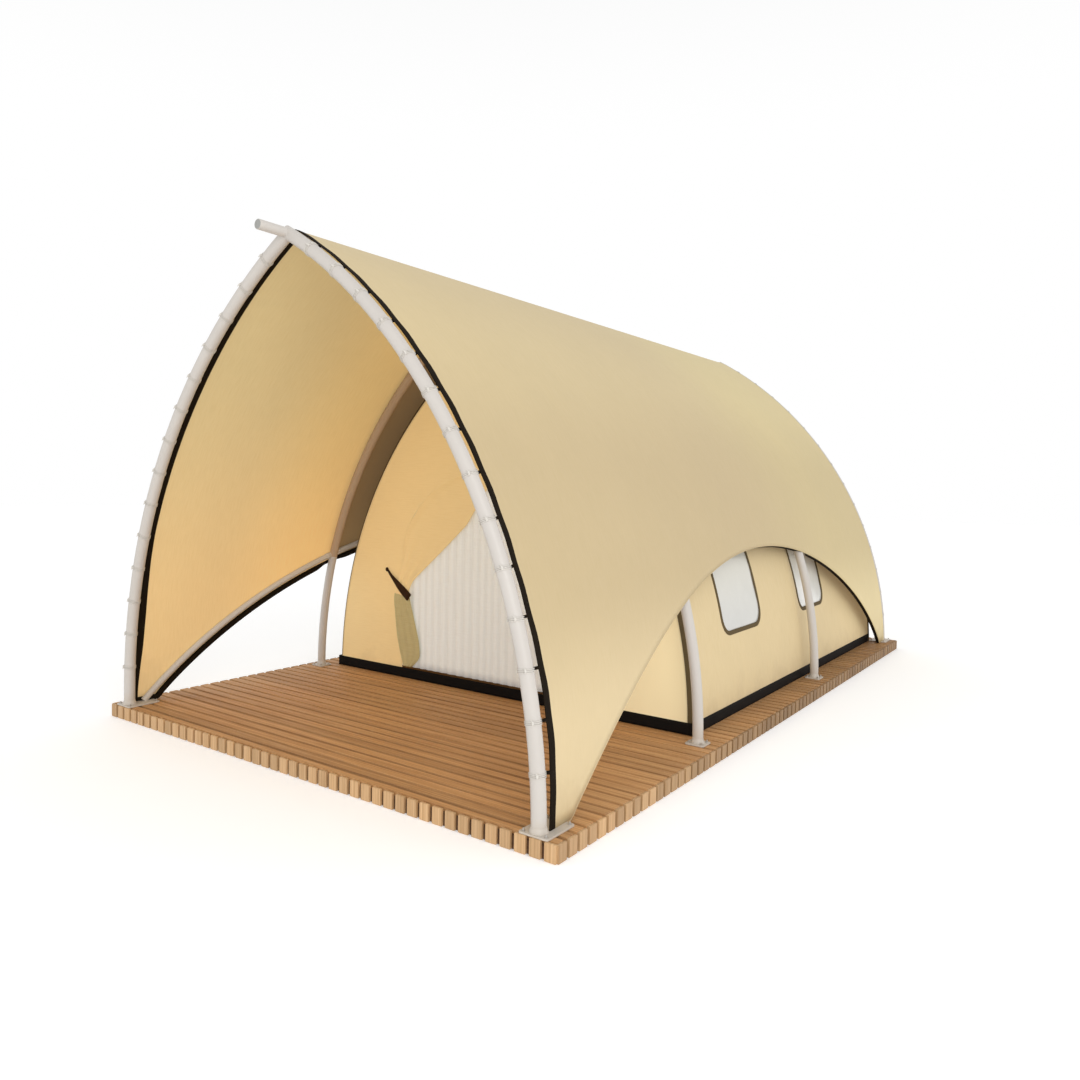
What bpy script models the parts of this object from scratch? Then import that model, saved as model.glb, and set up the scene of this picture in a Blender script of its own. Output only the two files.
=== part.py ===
# Pointed-arch tent on a timber deck: four steel arches, an outer canopy and an inner tent.
# Metres, +Z up, +Y towards the rear. The ground is at z = 0, and the deck's middle is at x = y = 0.
import math

import bmesh
import bpy
from mathutils import Matrix, Vector

# Gap left between pieces that touch.
GAP = 0.0003

# Deck
DECK_WIDTH = 5.0
DECK_LENGTH = 9.0
DECK_TOP = 0.12
FLOOR_THICKNESS = 0.028
FASCIA_THICKNESS = 0.025
BEARER_WIDTH = 0.07
BEARER_PLACES = {"left": -1.2, "middle": 0.0, "right": 1.2}

# Arches: both halves of a pointed arch are arcs of one circle, centred at the level of the deck's top.
ARCH_HALF_SPAN = 2.31
ARCH_RISE = 3.99
RIB_TUBE = 0.0445
END_ARCH_TUBE = 0.050
ARCH_STEPS = 24
FRONT_ARCH_Y = -4.42
FRONT_LEAN = 0.0135
FRONT_RIB_Y = -2.03
REAR_RIB_Y = 1.20
REAR_ARCH_Y = 4.37
REAR_LEAN = 0.118
PLATE_THICKNESS = 0.012
PLATE_WIDTH = 0.22
END_PLATE_LENGTH = 0.32
FRONT_PLATE_SHIFT = 0.09
REAR_PLATE_SHIFT = -0.05

# Each arch: its foot's y, its lean per metre of height, its tube, and its plate's length and shift.
ARCHES = {
    "front_arch": (FRONT_ARCH_Y, FRONT_LEAN, END_ARCH_TUBE, END_PLATE_LENGTH, FRONT_PLATE_SHIFT),
    "front_rib": (FRONT_RIB_Y, 0.0, RIB_TUBE, PLATE_WIDTH, 0.0),
    "rear_rib": (REAR_RIB_Y, 0.0, RIB_TUBE, PLATE_WIDTH, 0.0),
    "rear_arch": (REAR_ARCH_Y, REAR_LEAN, END_ARCH_TUBE, END_PLATE_LENGTH, REAR_PLATE_SHIFT),
}

# Ridge tube
RIDGE_TUBE = 0.038
RIDGE_FRONT_Y = -4.76
RIDGE_REAR_Y = 3.97
RIDGE_SIDES = 16

# Side openings of the canopy, seen from the side: one arc from the front foot to the rear foot.
SIDE_ARC_MIDDLE_Y = -0.02
SIDE_ARC_HALF_CHORD = 4.12
SIDE_ARC_RISE = 1.54
SIDE_ARC_STEPS = 40

# Side rails: bent tubes just inside the canopy's lower edge.
RAIL_TUBE = 0.030
RAIL_ABOVE_EDGE = 0.095
RAIL_STEPS = 10

# Outer canopy
CANOPY_THICKNESS = 0.010
CANOPY_LACING_GAP = 0.035
CANOPY_FOOT_HEIGHT = 0.030

# Inner tent
INNER_HALF_SPAN = 2.19
INNER_RISE = 3.75
INNER_THICKNESS = 0.010
INNER_FRONT_Y = -1.85
INNER_REAR_Y = 4.16

# Windows: two in each side wall
WINDOW_LENGTH = 1.0
WINDOW_SILL = 0.76
WINDOW_HEAD = 1.66
WINDOW_CORNER = 0.15
WINDOW_MIDDLES = {"front": -0.45, "rear": 1.75}
PANE_THICKNESS = 0.006

# Doorway
DOOR_HALF_WIDTH = 1.2
DOOR_SPRING = 1.35
DOOR_HEAD = 2.25
DOOR_STEPS = 12
SILL_HEIGHT = 0.11
FLAP_THICKNESS = 0.020
CURTAIN_THICKNESS = 0.020
CURTAIN_OVERLAP = 0.06
CURTAIN_CLEARANCE = 0.012
TIE_THICKNESS = 0.010
TIE_WIDTH = 0.055
TIE_HOOK = (1.42, 1.16)
TIE_END = (1.10, 0.89)

SIDES = {"left": -1, "right": 1}
REACH = 12.0


def clear_scene():
    for thing in list(bpy.data.objects):
        bpy.data.objects.remove(thing, do_unlink=True)


def new_collection(name):
    group = bpy.data.collections.new(name)
    bpy.context.scene.collection.children.link(group)
    return group


def principled(name, color, roughness, metallic=0.0):
    material = bpy.data.materials.new(name)
    material.use_nodes = True
    shader = material.node_tree.nodes["Principled BSDF"]
    shader.inputs["Base Color"].default_value = (*color, 1.0)
    shader.inputs["Roughness"].default_value = roughness
    shader.inputs["Metallic"].default_value = metallic
    return material


clear_scene()
tent = new_collection("safari_tent")
cutters = new_collection("cutters")
cutters.hide_render = True

TIMBER = principled("timber", (0.42, 0.23, 0.12), 0.65)
STEEL = principled("white_steel", (0.78, 0.75, 0.71), 0.45)
CANOPY = principled("canopy_membrane", (0.72, 0.58, 0.34), 0.60)
INNER = principled("inner_fabric", (0.76, 0.62, 0.38), 0.75)
CURTAIN = principled("curtain_fabric", (0.75, 0.70, 0.66), 0.80)
WINDOW = principled("window_film", (0.78, 0.78, 0.77), 0.25)
WEBBING = principled("dark_webbing", (0.02, 0.015, 0.012), 0.80)


def add_object(name, data, material, group=None):
    """Puts mesh or curve data in the tent's collection, or in another one, with its material."""
    thing = bpy.data.objects.new(name, data)
    (group or tent).objects.link(thing)
    if material:
        data.materials.append(material)
    return thing


def as_cutter(thing):
    thing.hide_render = True
    thing.display_type = "WIRE"
    return thing


def box(name, low, high, material, group=None):
    """A cuboid between two corners."""
    low, high = Vector(low), Vector(high)
    shape = bmesh.new()
    bmesh.ops.create_cube(shape, size=1.0, matrix=Matrix.Diagonal((*(high - low), 1.0)))
    mesh = bpy.data.meshes.new(name)
    shape.to_mesh(mesh)
    shape.free()
    thing = add_object(name, mesh, material, group)
    thing.location = (low + high) / 2
    return thing


def half_space(name, point, normal):
    """A cutter that fills everything on the side of a plane where its normal points."""
    shape = bmesh.new()
    bmesh.ops.create_cube(shape, size=2 * REACH, matrix=Matrix.Translation((0, 0, REACH)))
    mesh = bpy.data.meshes.new(name)
    shape.to_mesh(mesh)
    shape.free()
    thing = as_cutter(add_object(name, mesh, None, cutters))
    thing.location = point
    thing.rotation_euler = Vector(normal).to_track_quat("Z", "Y").to_euler()
    return thing


def prism_along_x(name, outline, low_x, high_x):
    """A cutter with an outline of (y, z) points, drawn out along X."""
    shape = bmesh.new()
    corners = [shape.verts.new((low_x, y, z)) for y, z in outline]
    face = shape.faces.new(corners)
    grown = bmesh.ops.extrude_face_region(shape, geom=[face])
    moved = [item for item in grown["geom"] if isinstance(item, bmesh.types.BMVert)]
    bmesh.ops.translate(shape, verts=moved, vec=(high_x - low_x, 0, 0))
    bmesh.ops.recalc_face_normals(shape, faces=shape.faces)
    mesh = bpy.data.meshes.new(name)
    shape.to_mesh(mesh)
    shape.free()
    return as_cutter(add_object(name, mesh, None, cutters))


def combine(thing, other, operation):
    step = thing.modifiers.new(other.name, "BOOLEAN")
    step.operation = operation
    step.object = other
    step.solver = "EXACT"


def flat_panel(name, outline, face_y, thickness, material, lean=0.0):
    """A flat plate with an outline of (x, z) points above the deck; its front face is at face_y."""
    curve = bpy.data.curves.new(name, "CURVE")
    curve.dimensions = "2D"
    curve.fill_mode = "BOTH"
    curve.extrude = thickness / 2
    slope = math.sqrt(1.0 + lean * lean)
    spline = curve.splines.new("POLY")
    spline.points.add(len(outline) - 1)
    for point, (x, z) in zip(spline.points, outline):
        point.co = (x, z * slope, 0.0, 1.0)
    spline.use_cyclic_u = True
    thing = add_object(name, curve, material)
    thing.rotation_euler = (math.pi / 2 + math.atan(lean), 0.0, 0.0)
    thing.location = (0.0, face_y + slope * thickness / 2, DECK_TOP + GAP + lean * thickness / 2)
    return thing


def tube_curve(name, points, radius, material, group=None):
    """A round tube with closed ends along a line of points."""
    curve = bpy.data.curves.new(name, "CURVE")
    curve.dimensions = "3D"
    curve.bevel_depth = radius
    curve.bevel_resolution = 4
    curve.use_fill_caps = True
    spline = curve.splines.new("POLY")
    spline.points.add(len(points) - 1)
    for point, place in zip(spline.points, points):
        point.co = (*place, 1.0)
    return add_object(name, curve, material, group)


def tube_mesh(name, points, radius, material, group=None):
    """The same tube as a closed mesh, for cutting and joining."""
    curve_object = tube_curve(name + "_line", points, radius, None, cutters)
    bpy.context.view_layer.update()
    ready = curve_object.evaluated_get(bpy.context.evaluated_depsgraph_get())
    mesh = bpy.data.meshes.new_from_object(ready)
    mesh.name = name
    shape = bmesh.new()
    shape.from_mesh(mesh)
    bmesh.ops.remove_doubles(shape, verts=shape.verts, dist=0.00001)
    bmesh.ops.recalc_face_normals(shape, faces=shape.faces)
    shape.to_mesh(mesh)
    shape.free()
    thing = add_object(name, mesh, material, group)
    thing.matrix_world = curve_object.matrix_world
    bpy.data.objects.remove(curve_object, do_unlink=True)
    return thing


def ribbon(name, profile, low_y, high_y, material):
    """An open surface: a profile of (x, z) points above the deck, drawn out along Y."""
    shape = bmesh.new()
    line = [shape.verts.new((x, low_y, DECK_TOP + z)) for x, z in profile]
    edges = [shape.edges.new(pair) for pair in zip(line, line[1:])]
    grown = bmesh.ops.extrude_edge_only(shape, edges=edges)
    moved = [item for item in grown["geom"] if isinstance(item, bmesh.types.BMVert)]
    bmesh.ops.translate(shape, verts=moved, vec=(0, high_y - low_y, 0))
    mesh = bpy.data.meshes.new(name)
    shape.to_mesh(mesh)
    shape.free()
    thing = add_object(name, mesh, material)
    if thing.data.polygons[0].normal.x * profile[0][0] < 0:
        thing.data.flip_normals()
    return thing


def thicken(thing, thickness, outwards):
    """Gives a ribbon its wall: outwards from the surface, or inwards."""
    wall = thing.modifiers.new("wall", "SOLIDIFY")
    wall.thickness = thickness
    wall.offset = 1.0 if outwards else -1.0
    wall.use_even_offset = True


def lancet_radius(half_span, rise):
    return (half_span ** 2 + rise ** 2) / (2 * half_span)


def lancet_angles(half_span, rise):
    """Equal steps from the foot to just past the crown."""
    top = math.acos(1 - half_span / lancet_radius(half_span, rise))
    return [1.03 * top * step / ARCH_STEPS for step in range(ARCH_STEPS + 1)]


def lancet_point(half_span, rise, angle, offset=0.0):
    """A point (x, z) of the right half of a pointed arch, moved outwards by the offset."""
    radius = lancet_radius(half_span, rise)
    return half_span - radius + (radius + offset) * math.cos(angle), (radius + offset) * math.sin(angle)


def lancet_profile(half_span, rise, side, offset=0.0):
    points = [lancet_point(half_span, rise, angle, offset) for angle in lancet_angles(half_span, rise)]
    return [(side * x, z) for x, z in points]


def lancet_x(half_span, rise, z, offset=0.0):
    """The half width of a pointed arch at a height above the deck."""
    radius = lancet_radius(half_span, rise)
    return half_span - radius + math.sqrt((radius + offset) ** 2 - z ** 2)


def lancet_z(half_span, rise, x):
    """The height above the deck of a pointed arch at x, on either side of the middle."""
    radius = lancet_radius(half_span, rise)
    return math.sqrt(radius ** 2 - (abs(x) - half_span + radius) ** 2)


def centre_cut(side):
    """Keeps one half of the tent: cuts away all past the middle plane."""
    return half_space(f"past_middle_{side}", (SIDES[side] * GAP / 2, 0, 0), (-SIDES[side], 0, 0))


def arch_path(side, foot_y, lean):
    """The centre line of half an arch, from inside its foot plate to just past the crown."""
    path = []
    for x, z in lancet_profile(ARCH_HALF_SPAN, ARCH_RISE, SIDES[side]):
        z = max(z, PLATE_THICKNESS / 2)
        path.append((x, foot_y - lean * z, DECK_TOP + z))
    return path


def make_deck():
    half_w, half_l = DECK_WIDTH / 2, DECK_LENGTH / 2
    under = DECK_TOP - FLOOR_THICKNESS - GAP
    inner_l = half_l - FASCIA_THICKNESS - GAP
    inner_w = half_w - FASCIA_THICKNESS
    box("deck_floor", (-half_w, -half_l, DECK_TOP - FLOOR_THICKNESS), (half_w, half_l, DECK_TOP), TIMBER)
    box("deck_fascia_front", (-half_w, -half_l, 0), (half_w, -half_l + FASCIA_THICKNESS, under), TIMBER)
    box("deck_fascia_rear", (-half_w, half_l - FASCIA_THICKNESS, 0), (half_w, half_l, under), TIMBER)
    box("deck_fascia_left", (-half_w, -inner_l, 0), (-inner_w, inner_l, under), TIMBER)
    box("deck_fascia_right", (inner_w, -inner_l, 0), (half_w, inner_l, under), TIMBER)
    for name, x in BEARER_PLACES.items():
        low, high = x - BEARER_WIDTH / 2, x + BEARER_WIDTH / 2
        box(f"deck_bearer_{name}", (low, -inner_l, 0), (high, inner_l, under), TIMBER)


def make_arch(name, side, foot_y, lean, radius, plate_length, plate_shift, ridge_space, middle):
    """Half an arch with its foot plate, coped round the ridge tube at the crown."""
    leg = tube_mesh(f"{name}_{side}", arch_path(side, foot_y, lean), radius, STEEL)
    x, y = SIDES[side] * ARCH_HALF_SPAN, foot_y + plate_shift
    plate = as_cutter(box(
        f"{name}_{side}_plate",
        (x - PLATE_WIDTH / 2, y - plate_length / 2, DECK_TOP + GAP),
        (x + PLATE_WIDTH / 2, y + plate_length / 2, DECK_TOP + PLATE_THICKNESS),
        STEEL, cutters))
    combine(leg, plate, "UNION")
    combine(leg, middle, "DIFFERENCE")
    combine(leg, ridge_space, "DIFFERENCE")
    leg.data.shade_smooth()


def ridge_points():
    top = DECK_TOP + ARCH_RISE
    return [(0, RIDGE_FRONT_Y, top), (0, RIDGE_REAR_Y, top)]


def make_ridge_space():
    """The room that the arches leave for the ridge tube."""
    space = tube_mesh("ridge_space", ridge_points(), RIDGE_TUBE + 2 * GAP, None, cutters)
    return as_cutter(space)


def side_arc():
    """The radius and the centre height of the canopy's side opening, above the deck."""
    radius = (SIDE_ARC_HALF_CHORD ** 2 + SIDE_ARC_RISE ** 2) / (2 * SIDE_ARC_RISE)
    return radius, SIDE_ARC_RISE - radius


def arc_angle_at(y, radius):
    return math.asin((y - SIDE_ARC_MIDDLE_Y) / radius)


def rail_path(side, low_y, high_y):
    """A stretch of a side rail's centre line, on the arches' circle and above the opening's edge."""
    edge_radius, centre_z = side_arc()
    radius = edge_radius + RAIL_ABOVE_EDGE
    start, end = arc_angle_at(low_y, radius), arc_angle_at(high_y, radius)
    sag = lancet_radius(ARCH_HALF_SPAN, ARCH_RISE) * (1 - math.cos(lancet_angles(ARCH_HALF_SPAN, ARCH_RISE)[1] / 2))
    inset = RIB_TUBE - RAIL_TUBE - sag
    path = []
    for step in range(RAIL_STEPS + 1):
        angle = start + (end - start) * step / RAIL_STEPS
        z = centre_z + radius * math.cos(angle)
        x = SIDES[side] * lancet_x(ARCH_HALF_SPAN, ARCH_RISE, z, inset)
        path.append((x, SIDE_ARC_MIDDLE_Y + radius * math.sin(angle), DECK_TOP + z))
    return path


def make_side_rails(side, under_plates):
    """Three stretches between the plates and the ribs, coped to the ribs."""
    edge_radius, centre_z = side_arc()
    half_chord = math.sqrt((edge_radius + RAIL_ABOVE_EDGE) ** 2 - centre_z ** 2)
    stops = {
        "front": (SIDE_ARC_MIDDLE_Y - half_chord, FRONT_RIB_Y),
        "middle": (FRONT_RIB_Y, REAR_RIB_Y),
        "rear": (REAR_RIB_Y, SIDE_ARC_MIDDLE_Y + half_chord),
    }
    ribs = {}
    for rib, foot_y in (("front", FRONT_RIB_Y), ("rear", REAR_RIB_Y)):
        path = arch_path(side, foot_y, 0.0)
        ribs[rib] = as_cutter(tube_mesh(f"rib_space_{rib}_{side}", path, RIB_TUBE + GAP, None, cutters))
    meets = {"front": ("front",), "middle": ("front", "rear"), "rear": ("rear",)}
    for place, (low_y, high_y) in stops.items():
        rail = tube_mesh(f"side_rail_{side}_{place}", rail_path(side, low_y, high_y), RAIL_TUBE, STEEL)
        for rib in meets[place]:
            combine(rail, ribs[rib], "DIFFERENCE")
        if place != "middle":
            combine(rail, under_plates, "DIFFERENCE")
        rail.data.shade_smooth()


def side_opening():
    """The side arc's outline as a cutter right through both sides of the canopy."""
    radius, centre_z = side_arc()
    reach = arc_angle_at(SIDE_ARC_MIDDLE_Y + SIDE_ARC_HALF_CHORD, radius)
    outline = []
    for step in range(SIDE_ARC_STEPS + 1):
        angle = reach * (1 - 2 * step / SIDE_ARC_STEPS)
        y = SIDE_ARC_MIDDLE_Y + radius * math.sin(angle)
        outline.append((y, DECK_TOP + centre_z + radius * math.cos(angle)))
    outline.append((outline[-1][0], 0.0))
    outline.append((outline[0][0], 0.0))
    return prism_along_x("side_opening", outline, -3.0, 3.0)


def make_canopy(side, middle, opening, ends, under_canopy):
    """Three panels a side, seamed over the ribs."""
    panels = {
        "porch": (FRONT_ARCH_Y - END_ARCH_TUBE, FRONT_RIB_Y - GAP / 2),
        "middle": (FRONT_RIB_Y + GAP / 2, REAR_RIB_Y - GAP / 2),
        "rear": (REAR_RIB_Y + GAP / 2, REAR_ARCH_Y),
    }
    profile = lancet_profile(ARCH_HALF_SPAN, ARCH_RISE, SIDES[side], RIB_TUBE + GAP)
    for place, (low_y, high_y) in panels.items():
        panel = ribbon(f"canopy_{side}_{place}", profile, low_y, high_y, CANOPY)
        thicken(panel, CANOPY_THICKNESS, True)
        combine(panel, middle, "DIFFERENCE")
        combine(panel, opening, "DIFFERENCE")
        if place != "middle":
            combine(panel, under_canopy, "DIFFERENCE")
        if place in ends:
            combine(panel, ends[place], "DIFFERENCE")


def rounded_outline(middle_y, inset=0.0):
    """A window's outline of (y, z) points: a rectangle with round corners."""
    half = WINDOW_LENGTH / 2 - WINDOW_CORNER
    low, high = DECK_TOP + WINDOW_SILL + WINDOW_CORNER, DECK_TOP + WINDOW_HEAD - WINDOW_CORNER
    corners = [(middle_y + half, high), (middle_y - half, high), (middle_y - half, low), (middle_y + half, low)]
    outline = []
    for quarter, (y, z) in enumerate(corners):
        for step in range(7):
            angle = math.pi / 2 * (quarter + step / 6)
            radius = WINDOW_CORNER - inset
            outline.append((y + radius * math.cos(angle), z + radius * math.sin(angle)))
    return outline


def make_inner_side(side, middle, behind_inner, under_inner):
    """Half of the inner tent's shell from the deck to its ridge, with its two windows and their panes."""
    sign = SIDES[side]
    profile = lancet_profile(INNER_HALF_SPAN, INNER_RISE, sign)
    profile[0] = (profile[0][0], -INNER_THICKNESS)
    wall = ribbon(f"inner_wall_{side}", profile, INNER_FRONT_Y + GAP, INNER_REAR_Y, INNER)
    thicken(wall, INNER_THICKNESS, False)
    combine(wall, middle, "DIFFERENCE")
    combine(wall, behind_inner, "DIFFERENCE")
    combine(wall, under_inner, "DIFFERENCE")
    pane_offset = -(INNER_THICKNESS - PANE_THICKNESS) / 2
    pane_profile = lancet_profile(INNER_HALF_SPAN, INNER_RISE, sign, pane_offset)
    reach = WINDOW_LENGTH / 2 + 0.1
    for place, middle_y in WINDOW_MIDDLES.items():
        ends = sorted((sign * 1.2, sign * 2.6))
        hole = prism_along_x(f"window_hole_{side}_{place}", rounded_outline(middle_y), *ends)
        combine(wall, hole, "DIFFERENCE")
        pane = ribbon(f"window_pane_{side}_{place}", pane_profile, middle_y - reach, middle_y + reach, WINDOW)
        thicken(pane, PANE_THICKNESS, False)
        shape = prism_along_x(f"window_shape_{side}_{place}", rounded_outline(middle_y, GAP), *ends)
        combine(pane, shape, "INTERSECT")


def gable_part(low_x, high_x):
    """The inner tent's pointed outline between two x values, left to right over the top."""
    whole = [(-x, z) for x, z in lancet_profile(INNER_HALF_SPAN, INNER_RISE, 1)]
    whole = [(x, z) for x, z in whole if x < 0]
    whole.append((0.0, INNER_RISE))
    whole += [(-x, z) for x, z in reversed(whole[:-1])]
    inside = [(x, z) for x, z in whole if low_x < x < high_x]
    ends = []
    for x in (low_x, high_x):
        ends.append((x, lancet_z(INNER_HALF_SPAN, INNER_RISE, x)))
    return [ends[0]] + inside + [ends[1]]


def door_arch():
    """The doorway's head, from its right spring to its left one."""
    points = []
    for step in range(DOOR_STEPS + 1):
        angle = math.pi * step / DOOR_STEPS
        rise = DOOR_HEAD - DOOR_SPRING
        points.append((DOOR_HALF_WIDTH * math.cos(angle), DOOR_SPRING + rise * math.sin(angle)))
    return points


def make_inner_front():
    """The inner tent's front: a wall beside the doorway on each hand, one over it, and the sill."""
    edge = DOOR_HALF_WIDTH + GAP
    face = INNER_FRONT_Y - INNER_THICKNESS
    left = gable_part(-INNER_HALF_SPAN, -edge) + [(-edge, 0.0)]
    flat_panel("inner_front_left", left, face, INNER_THICKNESS, INNER)
    flat_panel("inner_front_right", [(-x, z) for x, z in left], face, INNER_THICKNESS, INNER)
    top = gable_part(-DOOR_HALF_WIDTH, DOOR_HALF_WIDTH) + door_arch()
    flat_panel("inner_front_top", top, face, INNER_THICKNESS, INNER)
    low = DECK_TOP + GAP
    box("door_sill", (-DOOR_HALF_WIDTH, face, low), (DOOR_HALF_WIDTH, INNER_FRONT_Y, low + SILL_HEIGHT), WEBBING)


def make_inner_rear():
    """The inner tent's rear wall, leaning with the rear arch."""
    outline = gable_part(-INNER_HALF_SPAN, INNER_HALF_SPAN)
    face = INNER_REAR_Y - INNER_THICKNESS
    flat_panel("inner_rear", outline, face, INNER_THICKNESS, INNER, REAR_LEAN)


def door_cloth_outline():
    """The left door cloth, swept to its tie, as (x, z) points: its free edge, its tail and its fixed side."""
    free_edge = [(-GAP, 2.20), (-0.06, 2.08), (-0.19, 1.89), (-0.30, 1.71), (-0.66, 1.40), (-1.08, 1.05)]
    tail = [(-1.12, 0.93), (-1.06, 0.80), (-0.92, 0.42), (-0.96, 0.27), (-1.12, 0.125)]
    fixed_side = [(-1.19, 0.24), (-1.27, 0.61), (-1.33, 0.90), (-1.28, 1.35)]
    head = []
    for x, z in reversed(door_arch()[DOOR_STEPS // 2:-1]):
        head.append((x - 0.04, z + 0.06))
    return free_edge + tail + fixed_side + head[:-1] + [(-GAP, DOOR_HEAD + 0.06)]


def make_door():
    face = INNER_FRONT_Y - INNER_THICKNESS - GAP - FLAP_THICKNESS
    outline = door_cloth_outline()
    flat_panel("door_cloth_left", outline, face, FLAP_THICKNESS, INNER)
    flat_panel("door_cloth_right", [(-x, z) for x, z in outline], face, FLAP_THICKNESS, INNER)
    start, end = Vector(TIE_HOOK), Vector(TIE_END)
    across = (end - start).normalized().orthogonal() * TIE_WIDTH / 2
    strap = [start + across, end + across, end - across, start - across]
    for side, sign in SIDES.items():
        outline = [(sign * point.x, point.y) for point in strap]
        flat_panel(f"door_tie_{side}", outline, face - GAP - TIE_THICKNESS, TIE_THICKNESS, WEBBING)


def make_door_curtain():
    """The pleated curtain behind the doorway, hung on the wall's inner face."""
    low = SILL_HEIGHT + CURTAIN_CLEARANCE
    half = DOOR_HALF_WIDTH + CURTAIN_OVERLAP
    box(
        "door_curtain",
        (-half, INNER_FRONT_Y + GAP, DECK_TOP + low),
        (half, INNER_FRONT_Y + GAP + CURTAIN_THICKNESS, DECK_TOP + DOOR_HEAD + CURTAIN_OVERLAP),
        CURTAIN)


def main():
    make_deck()
    ridge_space = make_ridge_space()
    tube_curve("ridge_tube", ridge_points(), RIDGE_TUBE, STEEL)
    under_plates = half_space("under_plates", (0, 0, DECK_TOP + PLATE_THICKNESS + GAP), (0, 0, -1))
    under_canopy = half_space("under_canopy", (0, 0, DECK_TOP + CANOPY_FOOT_HEIGHT), (0, 0, -1))
    lean = (0, 1, REAR_LEAN)
    clearance = END_ARCH_TUBE + CANOPY_LACING_GAP
    ends = {
        "porch": half_space("before_front", (0, FRONT_ARCH_Y + clearance, DECK_TOP), (0, -1, -FRONT_LEAN)),
        "rear": half_space("behind_rear", (0, REAR_ARCH_Y - clearance, DECK_TOP), lean),
    }
    wall_start = INNER_REAR_Y - INNER_THICKNESS - GAP
    behind_inner = half_space("behind_inner", (0, wall_start, DECK_TOP), lean)
    under_inner = half_space("under_inner", (0, 0, DECK_TOP + GAP), (0, 0, -1))
    opening = side_opening()
    for side in SIDES:
        middle = centre_cut(side)
        for name, (foot_y, lean, radius, length, shift) in ARCHES.items():
            make_arch(name, side, foot_y, lean, radius, length, shift, ridge_space, middle)
        make_side_rails(side, under_plates)
        make_canopy(side, middle, opening, ends, under_canopy)
        make_inner_side(side, middle, behind_inner, under_inner)
    make_inner_front()
    make_inner_rear()
    make_door()
    make_door_curtain()


main()
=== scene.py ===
# %% [markdown]
# # A safari tent on a timber deck
#
# Four pointed steel arches stand on a deck of boards and carry a membrane, and an inner tent of canvas
# stands under its rear two thirds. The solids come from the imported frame, which fixes every size. This
# lesson lays thin cloth, round tubes, boards and rope over them, each piece as a grid of points worked
# out with numpy, and gives each one a procedural material.

# %% Load the frame
import math

import bmesh
import bpy
import numpy as np
from mathutils import Matrix, Vector


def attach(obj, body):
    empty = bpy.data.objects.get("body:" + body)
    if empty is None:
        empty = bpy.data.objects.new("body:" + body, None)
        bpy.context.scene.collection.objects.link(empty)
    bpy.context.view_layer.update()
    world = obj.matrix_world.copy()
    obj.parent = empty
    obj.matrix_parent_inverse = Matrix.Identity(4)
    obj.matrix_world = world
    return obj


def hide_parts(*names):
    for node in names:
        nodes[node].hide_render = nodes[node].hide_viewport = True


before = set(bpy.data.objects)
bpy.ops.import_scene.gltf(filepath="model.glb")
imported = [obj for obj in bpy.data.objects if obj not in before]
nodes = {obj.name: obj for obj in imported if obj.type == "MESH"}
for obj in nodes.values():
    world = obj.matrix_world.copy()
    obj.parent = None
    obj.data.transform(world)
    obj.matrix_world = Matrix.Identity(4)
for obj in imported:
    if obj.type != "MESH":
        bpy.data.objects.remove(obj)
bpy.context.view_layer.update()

# %% [markdown]
# ## The camera
#
# The photograph was solved on the deck's corners: a lens of 28.5 mm on a frame 36 mm wide, held about
# 2.26 m above the ground in front of the right corner, turned 37.5 degrees and tipped 2.8 degrees down.
# The picture was cropped off centre, so the camera is shifted by the same share of the frame.

# %% Camera
EYE = (5.1366, -8.7426, 2.2645)
FOCAL_PIXELS, FRAME_PIXELS = 855.4, 1080
CENTRE_X, CENTRE_Y = 480, 525
yaw, pitch, roll = np.radians([37.53, 2.82, 0.95])
ahead = np.array([-math.sin(yaw) * math.cos(pitch), math.cos(yaw) * math.cos(pitch), -math.sin(pitch)])
level = np.array([math.cos(yaw), math.sin(yaw), 0.0])
above = np.cross(level, ahead)
right = math.cos(roll) * level + math.sin(roll) * above
upward = math.cos(roll) * above - math.sin(roll) * level
camera_data = bpy.data.cameras.new("camera")
camera_data.lens = FOCAL_PIXELS / FRAME_PIXELS * camera_data.sensor_width
camera_data.shift_x = (FRAME_PIXELS / 2 - CENTRE_X) / FRAME_PIXELS
camera_data.shift_y = (CENTRE_Y - FRAME_PIXELS / 2) / FRAME_PIXELS
camera = bpy.data.objects.new("camera", camera_data)
camera.matrix_world = Matrix.Translation(EYE) @ Matrix(np.column_stack([right, upward, -ahead]).tolist()).to_4x4()
bpy.context.scene.collection.objects.link(camera)
bpy.context.scene.camera = camera
print("lens:", round(camera_data.lens, 2), "shift:", round(camera_data.shift_x, 4), round(camera_data.shift_y, 4))

# %% [markdown]
# ## Arrays into meshes
#
# Every piece below is a grid of points. Where the grid is a sheet, its quads join neighbouring points,
# and Solidify gives it the cloth's thickness. Where it is a run of rings, the quads close round each ring
# and a cap closes each end, which makes tubes, bands, boards and bolts alike. Small functions turn the
# arrays into faces, and two more turn them into an object that rides on the frame.

# %% Grids and rings
def grid_quads(rows, columns, keep=None):
    """Quads between neighbouring points of a grid; keep is a mask of the quads that stay."""
    corner = np.arange(rows - 1)[:, None] * columns + np.arange(columns - 1)
    quads = np.stack([corner, corner + 1, corner + columns + 1, corner + columns], axis=-1)
    return (quads.reshape(-1, 4) if keep is None else quads[keep]).tolist()


def loft(rings, closed=False):
    """Skins from rings of points, an array of (copies, rings, points, 3): quads round each ring, and then a
    flat cap over the first ring and the last, or quads from the last ring back to the first."""
    index = np.arange(rings[..., 0].size).reshape(rings.shape[:3])
    index = np.concatenate([index, index[:, :1]], axis=1) if closed else index
    beside = np.roll(index, -1, axis=2)
    faces = np.stack([index[:, :-1], beside[:, :-1], beside[:, 1:], index[:, 1:]], -1).reshape(-1, 4).tolist()
    if not closed:
        faces += index[:, 0, ::-1].tolist() + index[:, -1].tolist()
    return rings.reshape(-1, 3), faces


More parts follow.
